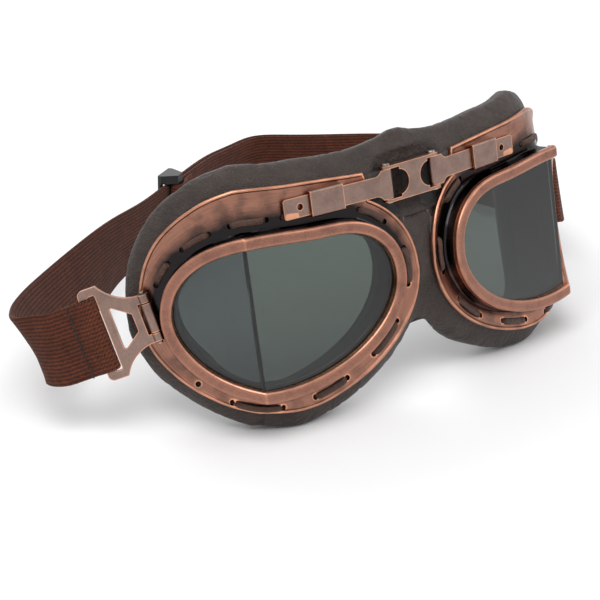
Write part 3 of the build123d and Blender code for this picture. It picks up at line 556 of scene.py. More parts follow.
def aged_copper(name, flat, bright, dark, patina, streak, edge, relief=None):
    """Copper plate, blackened, brushed and relieved: dull mauve-brown flats, glossy gunmetal patina
    left deep in the grooves, and pale copper along every edge, partly rubbed through by hands and
    partly painted highlight. A stamped cup is relieved from its outer edge inward, between the two
    relief shares."""
    material, tree, surface, _ = blank_material(name)
    blotch = stretched_noise(tree, (6.0, 6.0, 6.0), 3.0)
    touched = node(tree, "MapRange", "Result", None, (blotch, 0.3, 0.65, 0.45, 0.95))
    if relief:
        lines = grained_noise(tree, node(tree, "UVMap", "UV", {"uv_map": "UVMap"}), streak, 2.0)
        shares = node(tree, "UVMap", "UV", {"uv_map": "Relief"})
        place = node(tree, "SeparateXYZ", "X", None, (shares,))
        reach = node(tree, "Math", "Value", {"operation": "MULTIPLY_ADD"}, (blotch, 0.35, place))
        hollow = node(tree, "MapRange", "Result", None, (reach, relief[1], relief[0]))
        outer = node(tree, "MapRange", "Result", None, (place, 0.62, 0.86))
        touched = node(tree, "Math", "Value", {"operation": "MULTIPLY"}, (touched, outer))
    else:
        lines = stretched_noise(tree, streak, 2.0)
        opening = node(tree, "AmbientOcclusion", "AO", {"samples": 8}, {"Distance": 5.0 * MM})
        deep = node(tree, "MapRange", "Result", None, (opening, 0.72, 0.46))
        uneven = node(tree, "MapRange", "Result", None, (blotch, 0.3, 0.62, 1.0, 0.5))
        hollow = node(tree, "Math", "Value", {"operation": "MULTIPLY"}, (deep, uneven))
    ridge = node(tree, "AmbientOcclusion", "AO", {"inside": True, "samples": 8}, {
        "Distance": edge * MM})
    # Every convex edge takes the worn-edge colour: partly wear, partly painted highlight
    worn_and_highlit_edges = node(tree, "MapRange", "Result", None, (ridge, 0.95, 0.62))
    rubbed = node(tree, "Math", "Value", {"operation": "MULTIPLY"}, (worn_and_highlit_edges, touched))
    toned = node(tree, "MapRange", "Result", None, (blotch, 0.34, 0.66))
    base = node(tree, "ValToRGB", "Color", None, (toned,), ((0.0, dark), (0.6, flat), (1.0, flat)))
    grit = node(tree, "ValToRGB", "Color", None, (lines,), ((0.3, "#625854"), (0.7, "#a5988f")))
    brushed = node(tree, "Mix", "Result", {"data_type": "RGBA", "blend_type": "OVERLAY"}, {
        "Factor": 0.5, "A": base, "B": grit})
    aged = node(tree, "Mix", "Result", {"data_type": "RGBA"}, {
        "Factor": hollow, "A": brushed, "B": srgb(patina)})
    satin = node(tree, "MapRange", "Result", None, (lines, 0.3, 0.7, 0.27, 0.38))
    fill(tree, surface, {
        "Base Color": node(tree, "Mix", "Result", {"data_type": "RGBA"}, {
            "Factor": rubbed, "A": aged, "B": srgb(bright)}),
        "Metallic": 1.0,
        "Roughness": node(tree, "Math", "Value", {"operation": "MULTIPLY_ADD"}, (
            hollow, -0.16, satin)),
        "Normal": node(tree, "Bump", "Normal", None, {
            "Strength": 0.3, "Distance": 0.04 * MM, "Height": lines})})
    return material


def rubbed_leather(name, hide, sheen):
    """Oiled brown hide: fine pebbled grain, dark in the creases of the grain, with a soft grey painted
    sheen laid over it in random clouds."""
    material, tree, surface, _ = blank_material(name)
    pebble = node(tree, "TexVoronoi", "Distance", {"feature": "DISTANCE_TO_EDGE"}, {
        "Vector": node(tree, "TexCoord", "Object"), "Scale": 1 / (PEBBLE * MM), "Randomness": 1.0})
    grain = node(tree, "MapRange", "Result", None, (pebble, 0.0, 0.28))
    cloud = stretched_noise(tree, (9.0, 9.0, 9.0), 4.0)
    wavy = stretched_noise(tree, (1.6, 2.6, 1.6), 5.0)
    folds = node(tree, "MapRange", "Result", None, (wavy, 0.36, 0.66))
    painted_sheen = node(tree, "MapRange", "Result", None, (cloud, 0.3, 0.72))
    # Random clouds between the hide and a paler grey that is painted sheen
    colour = node(tree, "ValToRGB", "Color", None, (painted_sheen,), ((0.0, hide), (1.0, sheen)))
    pores = node(tree, "ValToRGB", "Color", None, (grain,), ((0.0, "#6e6e6e"), (0.5, "#ffffff")))
    raised = {}
    for height, strength, depth in ((grain, 0.6, 0.18), (cloud, 0.35, 0.6), (folds, 0.5, 0.5)):
        raised = {"Normal": node(tree, "Bump", "Normal", None, {
            "Strength": strength, "Distance": depth * MM, "Height": height, **raised})}
    fill(tree, surface, {
        "Base Color": node(tree, "Mix", "Result", {"data_type": "RGBA", "blend_type": "MULTIPLY"}, {
            "Factor": 0.4, "A": colour, "B": pores}),
        "Roughness": node(tree, "MapRange", "Result", None, (grain, 0.0, 1.0, 0.62, 0.46)),
        "Specular IOR Level": 0.42, "Sheen Weight": 0.06, "Sheen Roughness": 0.4, **raised})
    return material


def smoked_glass(name, tint):
    """Polished smoked glass: it darkens what lies behind it, and mirrors the studio weakly."""
    material, tree, surface, _ = blank_material(name)
    fill(tree, surface, {
        "Base Color": srgb(tint), "Transmission Weight": 1.0, "Roughness": 0.02, "IOR": 1.5})
    return material


def plain_polymer(name, colour, roughness):
    """Moulded black rubber or nylon: even colour, with a faint moulded texture, drawn coarser than
    the real one so that it shows."""
    material, tree, surface, _ = blank_material(name)
    fine = stretched_noise(tree, (0.4, 0.4, 0.4), 2.0)
    fill(tree, surface, {
        "Base Color": node(tree, "ValToRGB", "Color", None, (fine,), (
            (0.2, colour), (0.9, "#1c1b1c"))),
        "Roughness": node(tree, "MapRange", "Result", None, (
            fine, 0.2, 0.8, roughness - 0.06, roughness + 0.06)),
        "Normal": node(tree, "Bump", "Normal", None, {
            "Strength": 0.2, "Distance": 0.05 * MM, "Height": fine})})
    return material


def napped_fabric(name, pile, shade):
    """Short-napped lining fabric on foam: matt and dark, with a fuzzy edge light. The nap is drawn
    coarser than the real one so that it shows."""
    material, tree, surface, _ = blank_material(name)
    nap = stretched_noise(tree, (0.5, 0.5, 0.5), 4.0)
    fill(tree, surface, {
        "Base Color": node(tree, "ValToRGB", "Color", None, (nap,), ((0.3, shade), (0.7, pile))),
        "Roughness": 0.95, "Sheen Weight": 0.5, "Sheen Roughness": 0.6,
        "Normal": node(tree, "Bump", "Normal", None, {
            "Strength": 0.6, "Distance": 0.3 * MM, "Height": nap})})
    return material


def elastic_webbing(name, yarn, shade):
    """Woven elastic: fine lengthwise cords crossed by a slanting weft, matt, on a UV in millimetres.
    The weft stands out near the plates, where the webbing is stretched least."""
    material, tree, surface, _ = blank_material(name)
    flat = node(tree, "UVMap", "UV", {"uv_map": "UVMap"})
    split = node(tree, "SeparateXYZ", None, None, (flat,))
    along, across = split.outputs["X"], split.outputs["Y"]
    fuzz = node(tree, "TexNoise", "Fac", None, {"Vector": flat, "Scale": 1.1, "Detail": 3.0})

    def wave(slant, spacing):
        phase = node(tree, "Math", "Value", {"operation": "MULTIPLY_ADD"}, (along, slant, across))
        turned = node(tree, "Math", "Value", {"operation": "MULTIPLY_ADD"}, (
            fuzz, 1.1 * spacing, phase))
        turns = node(tree, "Math", "Value", {"operation": "MULTIPLY"}, (
            turned, 2 * math.pi / spacing))
        ridges = node(tree, "Math", "Value", {"operation": "SINE"}, (turns,))
        return node(tree, "MapRange", "Result", None, (ridges, -1.0, 1.0))

    half = ROUTE.length / 2
    past = node(tree, "Math", "Value", {"operation": "SUBTRACT"}, (along, half))
    from_middle = node(tree, "Math", "Value", {"operation": "ABSOLUTE"}, (past,))
    slack = node(tree, "MapRange", "Result", None, (
        from_middle, half - SLACK_FROM, half - SLACK_TO, 0.15, 1.0))
    twill = node(tree, "Math", "Value", {"operation": "MULTIPLY"}, (
        wave(WEFT_SLANT, WEFT_SPACING), slack))
    weave = node(tree, "Math", "Value", {"operation": "MULTIPLY_ADD"}, (
        twill, 0.9, wave(0.0, CORD_SPACING)))
    raised = node(tree, "MapRange", "Result", None, (weave, 0.1, 1.6))
    # Darker between the raised cords: painted shade in the weave's hollows
    colour = node(tree, "ValToRGB", "Color", None, (raised,), ((0.0, shade), (1.0, yarn)))
    cloud = stretched_noise(tree, (5.0, 5.0, 5.0), 4.0)
    mottled = node(tree, "ValToRGB", "Color", None, (cloud,), ((0.3, "#9a9a9a"), (0.7, "#ffffff")))
    fill(tree, surface, {
        "Base Color": node(tree, "Mix", "Result", {"data_type": "RGBA", "blend_type": "MULTIPLY"}, {
            "Factor": 0.45, "A": colour, "B": mottled}),
        "Roughness": 0.9, "Specular IOR Level": 0.25, "Sheen Weight": 0.04, "Sheen Roughness": 0.5,
        "Normal": node(tree, "Bump", "Normal", None, {
            "Strength": 0.8, "Distance": 0.3 * MM, "Height": weave})})
    return material


def finish_nodes(names, material):
    """Give CAD nodes their material; their shapes stay."""
    for name in names:
        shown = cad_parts[name]
        shown.data.materials.clear()
        shown.data.materials.append(material)
        shown.data.polygons.foreach_set("use_smooth", [True] * len(shown.data.polygons))
        shown.data.set_sharp_from_angle(angle=math.radians(32))


def both(*stems):
    return [side + stem for side in ("right_", "left_") for stem in stems]


# ----------------------------------------------------------- property groups

class GogglesStageSettings(bpy.types.PropertyGroup):
    """Where the camera stands and its lens."""
    azimuth: bpy.props.FloatProperty(
        name="Azimuth", description="Where the camera stands round the goggles",
        default=math.radians(-39.6), unit="ROTATION")
    elevation: bpy.props.FloatProperty(
        name="Elevation", description="How far the camera looks down",
        default=math.radians(23.6), unit="ROTATION")
    distance: bpy.props.FloatProperty(
        name="Distance", description="Camera to the middle of the goggles",
        default=0.678, unit="LENGTH")
    focal: bpy.props.FloatProperty(
        name="Focal Length", description="Lens of the camera in millimetres",
        default=120.0, unit="CAMERA")


class GogglesMetalSettings(bpy.types.PropertyGroup):
    """Colours of the plated metal."""
    flat: bpy.props.StringProperty(
        name="Flat", description="Darkened copper on the flats", default="#ac7f6e")
    # Worn-edge colour, which also serves as painted highlight along every edge
    bright: bpy.props.StringProperty(
        name="Worn", description="Bright copper where edges are rubbed", default="#f0ab86")
    dark: bpy.props.StringProperty(
        name="Dark", description="Patina left in blotches", default="#8a695d")
    patina: bpy.props.StringProperty(
        name="Patina", description="Gunmetal film deep in the grooves", default="#2b2829")


class GogglesSoftSettings(bpy.types.PropertyGroup):
    """Leather, lining and webbing."""
    # Hide and the paler grey are mixed in random clouds, not by crease and crown; the grey is painted
    # sheen
    hide: bpy.props.StringProperty(
        name="Hide", description="Leather in its creases", default="#251a15")
    painted_sheen: bpy.props.StringProperty(
        name="Bloom", description="Leather on its crowns", default="#3a2d27")
    yarn: bpy.props.StringProperty(
        name="Yarn", description="Raised cords of the elastic", default="#6e3822")
    # Painted shade between the cords
    shade: bpy.props.StringProperty(
        name="Shade", description="Between the cords", default="#3a1c12")
    lace: bpy.props.StringProperty(
        name="Lace", description="Leather lace on the cups", default="#3f261c")
    nap: bpy.props.StringProperty(
        name="Nap", description="Lining against the face", default="#1b191a")


# --------------------------------------------------------------- operators

class GOGGLES_OT_stage(bpy.types.Operator):
    """Make the floor, the studio lights and the camera"""
    bl_idname = "goggles.stage"
    bl_label = "Stage"

    def execute(self, context):
        settings = context.scene.goggles_stage
        az, el = settings.azimuth, settings.elevation
        forward = Vector((-math.sin(az) * math.cos(el), math.cos(az) * math.cos(el), -math.sin(el)))
        right = Vector((math.cos(az), math.sin(az), 0))
        up = right.cross(forward)
        target = Vector((0, 0, LENS_CENTRE_HEIGHT * MM))
        pixels = settings.focal / SENSOR * IMAGE_SIDE
        across, down = ((aim - IMAGE_SIDE / 2) / pixels for aim in AIM)
        offset = forward + right * across - up * down
        camera_data = bpy.data.cameras.new("camera")
        camera_data.lens, camera_data.sensor_width = settings.focal, SENSOR
        camera_data.clip_start, camera_data.clip_end = 0.01, 20
        camera = bpy.data.objects.new("camera", camera_data)
        self.aim(camera, target - offset * settings.distance, forward)
        context.scene.camera = camera
        self.make_floor()
        self.make_lights(context)
        return {"FINISHED"}

    def aim(self, thing, place, forward):
        thing.location = place
        thing.rotation_mode = "QUATERNION"
        thing.rotation_quaternion = forward.to_track_quat("-Z", "Y")
        bpy.context.scene.collection.objects.link(thing)

    def make_floor(self):
        """A matt board that ends in plain white away from the goggles."""
        corners = [(-4, -4, 0), (4, -4, 0), (4, 4, 0), (-4, 4, 0)]
        floor = mesh_object("floor", corners, [(0, 1, 2, 3)], False)
        material, tree, surface, output = blank_material("matt_white_board")
        fill(tree, surface, {"Base Color": srgb("#f4f4f5"), "Roughness": 0.7})
        place = node(tree, "NewGeometry", "Position")
        far = node(tree, "VectorMath", "Value", {"operation": "DISTANCE"}, (place, BOARD_MIDDLE))
        beyond = node(tree, "MapRange", "Result", None, (far, *BOARD_FADE))
        away = node(tree, "Math", "Value", {"operation": "MULTIPLY"}, (
            self.shown_rays(tree), beyond))
        white = node(tree, "Emission", "Emission", None, {"Color": (1, 1, 1, 1), "Strength": 1.0})
        shown = node(tree, "MixShader", "Shader", None, (away, surface.outputs["BSDF"], white))
        fill(tree, output, {"Surface": shown})
        floor.data.materials.append(material)

    def shown_rays(self, tree):
        """1 where the camera, a reflection or glass shows the background."""
        rays = node(tree, "LightPath").outputs
        straight = node(tree, "Math", "Value", {"operation": "MAXIMUM"}, (
            rays["Is Camera Ray"], rays["Is Transmission Ray"]))
        return node(tree, "Math", "Value", {"operation": "MAXIMUM"}, (
            straight, rays["Is Glossy Ray"]))

    def make_lights(self, context):
        for name, place, size, power in PANELS:
            lamp = bpy.data.lights.new(name, "AREA")
            lamp.size, lamp.energy = size, power
            self.aim(bpy.data.objects.new(name, lamp), place, Vector((0, 0, 0.04)) - Vector(place))
        world = bpy.data.worlds.new("studio")
        world.use_nodes = True
        tree = world.node_tree
        tree.nodes.clear()
        soft, white = (node(tree, "Background", "Background", None, {
            "Color": (1, 1, 1, 1), "Strength": strength}) for strength in (0.55, 1.0))
        shown = node(tree, "MixShader", "Shader", None, (self.shown_rays(tree), soft, white))
        node(tree, "OutputWorld", inputs={"Surface": shown})
        context.scene.world = world
        context.scene.view_settings.view_transform = "Standard"


class GOGGLES_OT_metal(bpy.types.Operator):
    """Plate the cups, rims, bridge and strap plates in aged copper"""
    bl_idname = "goggles.metal"
    bl_label = "Aged Copper"

    def execute(self, context):
        metal = context.scene.goggles_metal
        rim = aged_copper("aged_copper_rim", "#a5796a", metal.bright, "#956e61", metal.patina,
                          (0.8, 0.8, 0.3), 1.2)
        stamped = aged_copper("aged_copper_cup", metal.flat, metal.bright, metal.dark, metal.patina,
                              (9.0, 0.3, 1.0), 0.85, (0.55, 1.02))
        brushed = aged_copper("brushed_copper_strip", "#a18a81", metal.bright, "#927d75", metal.patina,
                              (0.14, 0.14, 5.0), 0.4)
        steel = aged_copper("nickelled_steel_pin", "#8a8380", "#e0cabb", "#6b6462", metal.patina,
                            (0.3, 0.3, 0.3), 0.4)
        finish_nodes(both("lens_rim"), rim)
        self.stamp_cups(stamped)
        strips = both("bridge_keeper", "bridge_tongue", "strap_tab", "strap_plate")
        finish_nodes(strips + ["bridge_link"], brushed)
        finish_nodes(both("bridge_pin", "strap_pin"), steel)
        return {"FINISHED"}

    def section(self, edge, foot, depth):
        """Round the sheet's section: its front from seat to rolled edge, then its back."""
        rows = list(SEAT_SECTION) + [(x, foot + y, bend) for x, y, bend in WALL_SECTION]
        for share in np.arange(1, FLANGE_STEPS + 1) / FLANGE_STEPS:
            rows.append((FLANGE_START + (edge - EDGE_WIDTH - FLANGE_START) * share,
                         foot + (depth - foot) * share, FOOT_BEND + (FLANGE_BEND - FOOT_BEND) * share))
        rows += [(edge - x, depth - y, FLANGE_BEND) for x, y in ROLLED_EDGE]
        rows += [(edge - EDGE_WIDTH, depth + SHEET, FLANGE_BEND),
                 ((edge + RIM_WIDTH) / 2, (foot + depth) / 2 + SHEET, MIDDLE_BEND),
                 (RIM_WIDTH, foot + SHEET, FOOT_BEND)]
        return np.array(rows + list(BACK_SECTION)).T

    def stamp_cups(self, stamped):
        """The cup's seat, wall, dished flange and rolled edge, pierced for the lace."""
        point, outward = ring_stations(250, 110)
        outward = eased_fold(point, outward)
        edge = RIM_WIDTH + cup_width(point, outward)
        near = smooth_step((24 - np.abs(point[:, 0])) / 8)
        edge += (even_loop(even_loop(edge, 14), 10) - edge) * near
        foot, depth = flange_depths(outward)
        worn = CHIN_WEAR * smooth_step((0.1 - outward[:, 1]) / 0.6)
        rows, relief, run = [], [], []
        for i, length in enumerate(run_along(point)):
            out, back, bend = self.section(edge[i], foot[i], depth[i])
            rows.append(set_out(point[i], outward[i], out, back, bend))
            shares = (out - FLANGE_FOOT) / (min(edge[i], RELIEF_REACH) - FLANGE_FOOT)
            relief += [(share + worn[i], 0) for share in np.clip(shares, 0, 1)]
            run += [(length, x) for x in out]
        piece = ring_piece("right_cup_plate", np.array(rows))
        give_uv(piece, run)
        give_uv(piece, relief, "Relief")
        self.pierce(piece)
        for side, flip in SIDES:
            if side == "left":
                mesh = piece.data.copy()
                mesh.transform(np.diag([*flip, 1.0]).tolist())
                mesh.flip_normals()
                piece = bpy.data.objects.new("left_cup_plate", mesh)
                bpy.context.scene.collection.objects.link(piece)
            piece.data.materials.clear()
            piece.data.materials.append(stamped)
            piece.data.polygons.foreach_set("use_smooth", [True] * len(piece.data.polygons))
            piece.data.set_sharp_from_angle(angle=math.radians(38))
            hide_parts(side + "_cup")
            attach(piece, side + "_eye")

    def pierce(self, piece):
        """Punch the lacing holes."""
        angle = np.linspace(0, 2 * math.pi, 16, endpoint=False)
        circle = np.stack([np.cos(angle), np.sin(angle)], axis=1) * HOLE_RADIUS
        punches = []
        for lens in (FRONT, SIDE):
            for point, outward in zip(*edge_stations(lens, lens[2])):
                around, out = np.tile(outward, (len(circle), 1)), RIM_WIDTH + LACE_OUT
                punches.append(row_frame([flange_place(point + circle, around, out, lift)
                                          for lift in (PUNCH_FROM, PUNCH_TO)]))
        punch = tubes_piece("punch", punches, False)
        cut = piece.modifiers.new("holes", "BOOLEAN")
        cut.object, cut.operation, cut.solver = punch, "DIFFERENCE", "EXACT"
        bpy.context.view_layer.update()
        evaluated = piece.evaluated_get(bpy.context.evaluated_depsgraph_get())
        pierced = bpy.data.meshes.new_from_object(evaluated)
        piece.modifiers.clear()
        piece.data = pierced
        bpy.data.objects.remove(punch)


class GOGGLES_OT_lenses(bpy.types.Operator):
    """Glaze the four panes, black the seals between them, and blacken the adjuster"""
    bl_idname = "goggles.lenses"
    bl_label = "Lenses"

    def execute(self, context):
        finish_nodes(both("front_lens"), smoked_glass("smoked_glass", "#515b55"))
        # The side panes get a darker tint than the front panes: the extra darkness is painted
        # reflection
        finish_nodes(both("side_lens"), smoked_glass("side_glass_with_painted_dark_reflection", "#424b49"))
        finish_nodes(both("lens_seal"), plain_polymer("black_rubber", "#040404", 0.6))
        finish_nodes(["tri_glide"], plain_polymer("black_nylon", "#101011", 0.38))
        return {"FINISHED"}


def pad_sections(point, outward, crown, shoulder, flat):
    """Sections of the leather-covered foam, one a station: its crown, shoulder, flat back, the wall
    inside and the strip under the flange, each point with its share of the saddle's rise."""
    edge = RIM_WIDTH + flange_width(point, outward)
    foot, depth = (level + SHEET + PAD_GAP for level in flange_depths(outward))
    rise = pad_rise(point, outward)
    drop = PAD_DROP + PAD_NOSE_DROP * np.maximum(outward[:, 0], 0) ** 2
    rows = []
    for i in range(len(point)):
        e, f, d, back = edge[i], foot[i], depth[i], PAD_BACK
        widest = e + PAD_OUT
        start = widest - PAD_SHOULDER
        top, side = (e + PAD_OUT * CROWN_OUT, d + drop[i], CROWN_RISE), (widest, PAD_WIDEST, 1)
        turn = (widest - 0.8, PAD_TURN, TURN_RISE)
        section = arc_points((e - 1.0, d, 0), top, side, crown)
        section += arc_points(side, turn, (start, back, BACK_RISE), shoulder)
        section += [(start + (PAD_INSIDE - start) * k / flat, back, BACK_RISE * (1 - k / flat))
                    for k in range(flat)]
        section += [(PAD_INSIDE + k / 4, back + (f - back) * k / 4, 0) for k in range(4)]
        section += [(3.0 + (e - 4.0) * k / 3, f + (d - f) * k / 3, 0) for k in range(3)]
        out, behind, lift = np.array(section).T
        rows.append(set_out(point[i], outward[i], out, behind, PAD_BEND, rise[i] * lift))
    return np.array(rows)


def nose_hollow(points):
    """Push points out of the round hollow behind the bridge where the nose goes."""
    x, y, z = np.moveaxis(points, -1, 0)
    radius = NOSE_LOW_RADIUS + (NOSE_HIGH_RADIUS - NOSE_LOW_RADIUS) * (z + 45) / 90
    far = np.maximum(np.hypot(x, y - NOSE_BACK), 1e-6)
    scale = np.where(far < radius, radius / far, 1)
    return np.stack([x * scale, NOSE_BACK + (y - NOSE_BACK) * scale, z], axis=-1)


def bridge_dent(points):
    """Press the leather back behind the link and the tongue ends."""
    x, y, z = np.moveaxis(points, -1, 0)
    beside, beyond = np.abs(x) - DENT_HALF_WIDTH, np.abs(z - BRIDGE_HEIGHT) - DENT_HALF_HEIGHT
    past = np.maximum(beside, beyond) / DENT_EASE
    depth = BRIDGE_PIN_Y + DENT_BACK - DENT_EASE * np.maximum(past, 0)
    return np.stack([x, np.where(past < 1.0, np.maximum(y, depth), y), z], axis=-1)


def grid_normals(rows):
    """Outward directions of a closed ring of sections."""
    along = np.roll(rows, -1, axis=0) - np.roll(rows, 1, axis=0)
    around = np.roll(rows, -1, axis=1) - np.roll(rows, 1, axis=1)
    normal = unit(np.cross(along, around))
    return normal * np.sign(np.sum(normal * (rows - rows.mean(axis=1, keepdims=True))))


def wrinkled(rows, crown):
    """Leather drawn over foam: shallow dimples, and creases that run across the roll."""
    normal = grid_normals(rows)
    moved = rows.copy()
    for i in range(rows.shape[0]):
        for j in range(crown):
            soft = noise.noise(Vector(rows[i, j] / DIMPLE_GRAIN))
            line = noise.noise(Vector(rows[i, j] / CREASE_GRAIN + (3, 0, 0)))
            crease = 1 - min(abs(line) * 5, 1)
            hold = math.sin(math.pi * j / crown)
            moved[i, j] += normal[i, j] * hold * (DIMPLE * soft - CREASE * crease ** 2)
    return moved


def cut_at(piece, place):
    """Cut off what lies between a place and the nose, and give the cut's rim in order."""
    shape = bmesh.new()
    shape.from_mesh(piece.data)
    bmesh.ops.bisect_plane(shape, geom=shape.verts[:] + shape.edges[:] + shape.faces[:],
                           plane_co=(place * MM, 0, 0), plane_no=(-math.copysign(1, place), 0, 0),
                           clear_outer=True)
    for vertex in shape.verts:
        vertex.co.z = max(vertex.co.z, FLOOR_GAP * MM)
    shape.normal_update()
    rim, edges = [], [edge for edge in shape.edges if edge.is_boundary]
    if edges:
        first = vertex = edges[0].verts[0]
        came = None
        while not rim or vertex is not first:
            rim.append((np.array(vertex.co) / MM, np.array(vertex.normal)))
            came = next(edge for edge in vertex.link_edges if edge.is_boundary and edge is not came)
            vertex = came.other_vert(vertex)
        for edge in edges:
            edge.smooth = False
        bmesh.ops.holes_fill(shape, edges=edges)
    shape.to_mesh(piece.data)
    shape.free()
    return rim


class GOGGLES_OT_leather(bpy.types.Operator):
    """Stretch the leather over the foam round both eyes and across the nose"""
    bl_idname = "goggles.leather"
    bl_label = "Leather"

    def execute(self, context):
        soft = context.scene.goggles_soft
        hide = rubbed_leather("oiled_brown_hide", soft.hide, soft.painted_sheen)
        lining = napped_fabric("black_foam_lining", "#111112", "#070707")
        rows = pad_sections(*ring_stations(150, 76), 16, 8, 14)
        rows = bridge_dent(nose_hollow(wrinkled(rows, 24)))
        for side, flip in SIDES:
            piece = ring_piece(side + "_leather", rows * flip)
            piece.data.polygons.foreach_set("material_index", [
                int(k % rows.shape[1] >= LINED_FROM) for k in range(len(piece.data.polygons))])
            rim = cut_at(piece, -NOSE_CUT * flip[0])
            self.dress(piece, hide, side + "_eye")
            piece.data.materials.append(lining)
            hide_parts(side + "_leather_pad")
            if side == "right":
                self.nose_piece(rim, hide)
        return {"FINISHED"}

    def dress(self, piece, hide, body):
        piece.data.materials.append(hide)
        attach(piece, body)

    def nose_piece(self, rim, hide):
        """The gathered leather between the cups, tucked under both of them."""
        place, normal = np.moveaxis(np.array(rim), 1, 0)
        normal = unit(even_loop(normal, 2))
        edge = unit(even_loop(np.roll(place, -1, axis=0) - np.roll(place, 1, axis=0), 2))
        inward = np.cross(edge, normal)
        ahead = unit(even_loop(inward * np.sign(inward[:, :1]), 2))
        rows = [place - ahead * behind - normal * below for behind, below in NOSE_TUCKS]
        for t in np.linspace(0, 1, 19):
            a, b = 2 * t ** 3 - 3 * t ** 2 + 1, t ** 3 - 2 * t ** 2 + t
            c, d = -2 * t ** 3 + 3 * t ** 2, t ** 3 - t ** 2
            row = (place * a + ahead * NOSE_REACH * b
                   + place * MIRROR * c - ahead * MIRROR * NOSE_REACH * d)
            puckers = np.array([noise.noise(Vector(spot * PUCKERS_PER_MM)) for spot in row])
            lift = math.sin(math.pi * t) * NOSE_PUCKER * puckers
            row += (normal * (1 - t) + normal * MIRROR * t) * lift[:, None]
            rows.append(row)
        rows = np.array(rows + [rows[1] * MIRROR, rows[0] * MIRROR])
        rows[..., 2] = np.maximum(rows[..., 2], FLOOR_GAP + 0.05)
        self.dress(tubes_piece("nose_leather", [rows * MM]), hide, "bridge")


class GOGGLES_OT_cushions(bpy.types.Operator):
    """Line the back of the mask with soft napped rings"""
    bl_idname = "goggles.cushions"
    bl_label = "Face Cushions"

    def execute(self, context):
        lining = napped_fabric("napped_lining", context.scene.goggles_soft.nap, "#0d0c0d")
        point, outward = ring_stations(120, 60)
        edge = RIM_WIDTH + flange_width(point, outward)
        rise = pad_rise(point, outward)
        angle = np.radians(np.linspace(0, 180, 19))
        rows = []
        for i in range(len(point)):
            outside = edge[i] + PAD_OUT - PAD_SHOULDER - CUSHION_INSET
            middle, half = (outside + CUSHION_INSIDE) / 2, (outside - CUSHION_INSIDE) / 2
            crown = middle + half * np.cos(angle) * np.abs(np.cos(angle)) ** -0.35
            base = np.linspace(CUSHION_INSIDE, outside, 8)[1:-1]
            out = np.concatenate([crown, base])
            back = CUSHION_START + np.concatenate([CUSHION_CROWN * np.sin(angle) ** 0.8, base * 0])
            share = np.clip((out - CUSHION_INSIDE) / (outside - CUSHION_INSIDE), 0, 1) * BACK_RISE
            rows.append(set_out(point[i], outward[i], out, back, PAD_BEND, rise[i] * share))
        rows = nose_hollow(np.array(rows))
        for side, flip in SIDES:
            piece = ring_piece(side + "_cushion", rows * flip)
            cut_at(piece, -CUSHION_CUT * flip[0])
            piece.data.materials.append(lining)
            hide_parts(side + "_face_cushion")
            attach(piece, side + "_eye")
        return {"FINISHED"}


class GOGGLES_OT_strap(bpy.types.Operator):
    """Thread the elastic webbing through both strap plates and the adjuster"""
    bl_idname = "goggles.strap"
    bl_label = "Strap"

    def execute(self, context):
        soft = context.scene.goggles_soft
        woven = elastic_webbing("woven_elastic", soft.yarn, soft.shade)
        loop, up = plate_loop_line()
        for name, start, end, body, far in STRETCHES:
            begin, finish = ROUTE([max(start, END_SHARE), min(end, 1 - END_SHARE)])
            centres, across = route_line(start, end)
            nodes = ["strap_band"]
            if start == 0:
                centres, across = joined((loop[:-1], up[:-1]), (centres, across))
                nodes += ["right_strap_loop"]
            if end == 1:
                far_loop = [(line * MIRROR)[::-1][1:] for line in (loop, up)]
                centres, across = joined((centres, across), far_loop)
                nodes += ["left_strap_loop"]
            along = start * ROUTE.length + (0 if start == 0 else LOOP_RUN)
            self.lay("band_" + name, centres, across, along, woven, nodes, body, far, begin, finish)
            if end > RETURN_START:
                share = max(start, RETURN_START)
                self.lay("return_" + name, *route_line(share, end, 2 * LAYER), share * ROUTE.length,
                         woven, ["strap_return_layer"], body, far, begin, finish)
        self.lay("adjuster_webbing", *adjuster_loop_line(), 0, woven, ["adjuster_loop"], "adjuster")
        self.stitches()
        return {"FINISHED"}

    def lay(self, name, centres, across, along, woven, nodes, body, far=None, begin=None, finish=None):
        """One length of webbing, riding one body, or, where it runs from one body to the next, baked in
        place and riding none.
        """
        piece, length = ribbon(name, centres, across, along)
        piece.data.materials.append(woven)
        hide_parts(*nodes)
        if far:
            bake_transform(piece)
        else:
            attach(piece, body)

    def stitches(self):
        """A row of lockstitch through both layers of each sewn end."""
        thread = rubbed_leather("waxed_thread", "#160b07", "#1f100a")
        face = LAYER + STRAP_THICK / 2 - 0.05
        seam = PLATE_ORIGIN + PLATE_OUT * (LOOP_SEAM + 0.4) + PLATE_FRONT * face
        t = np.linspace(-1, 1, 7)[:, None, None]
        angle = np.linspace(0, 2 * math.pi, 8, endpoint=False)[:, None]
        swell = STITCH_RADIUS * np.sqrt(np.maximum(1 - t ** 4, 0.02))
        stitch = seam + PLATE_UP * t + (PLATE_OUT * np.cos(angle) + PLATE_FRONT * np.sin(angle)) * swell
        ups = (np.arange(STITCHES) - (STITCHES - 1) / 2) * STITCH_PITCH
        for side, flip in SIDES:
            row = [(stitch + PLATE_UP * up) * flip * MM for up in ups]
            piece = tubes_piece(side + "_seam_thread", row)
            piece.data.materials.append(thread)
            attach(piece, side + "_plate")


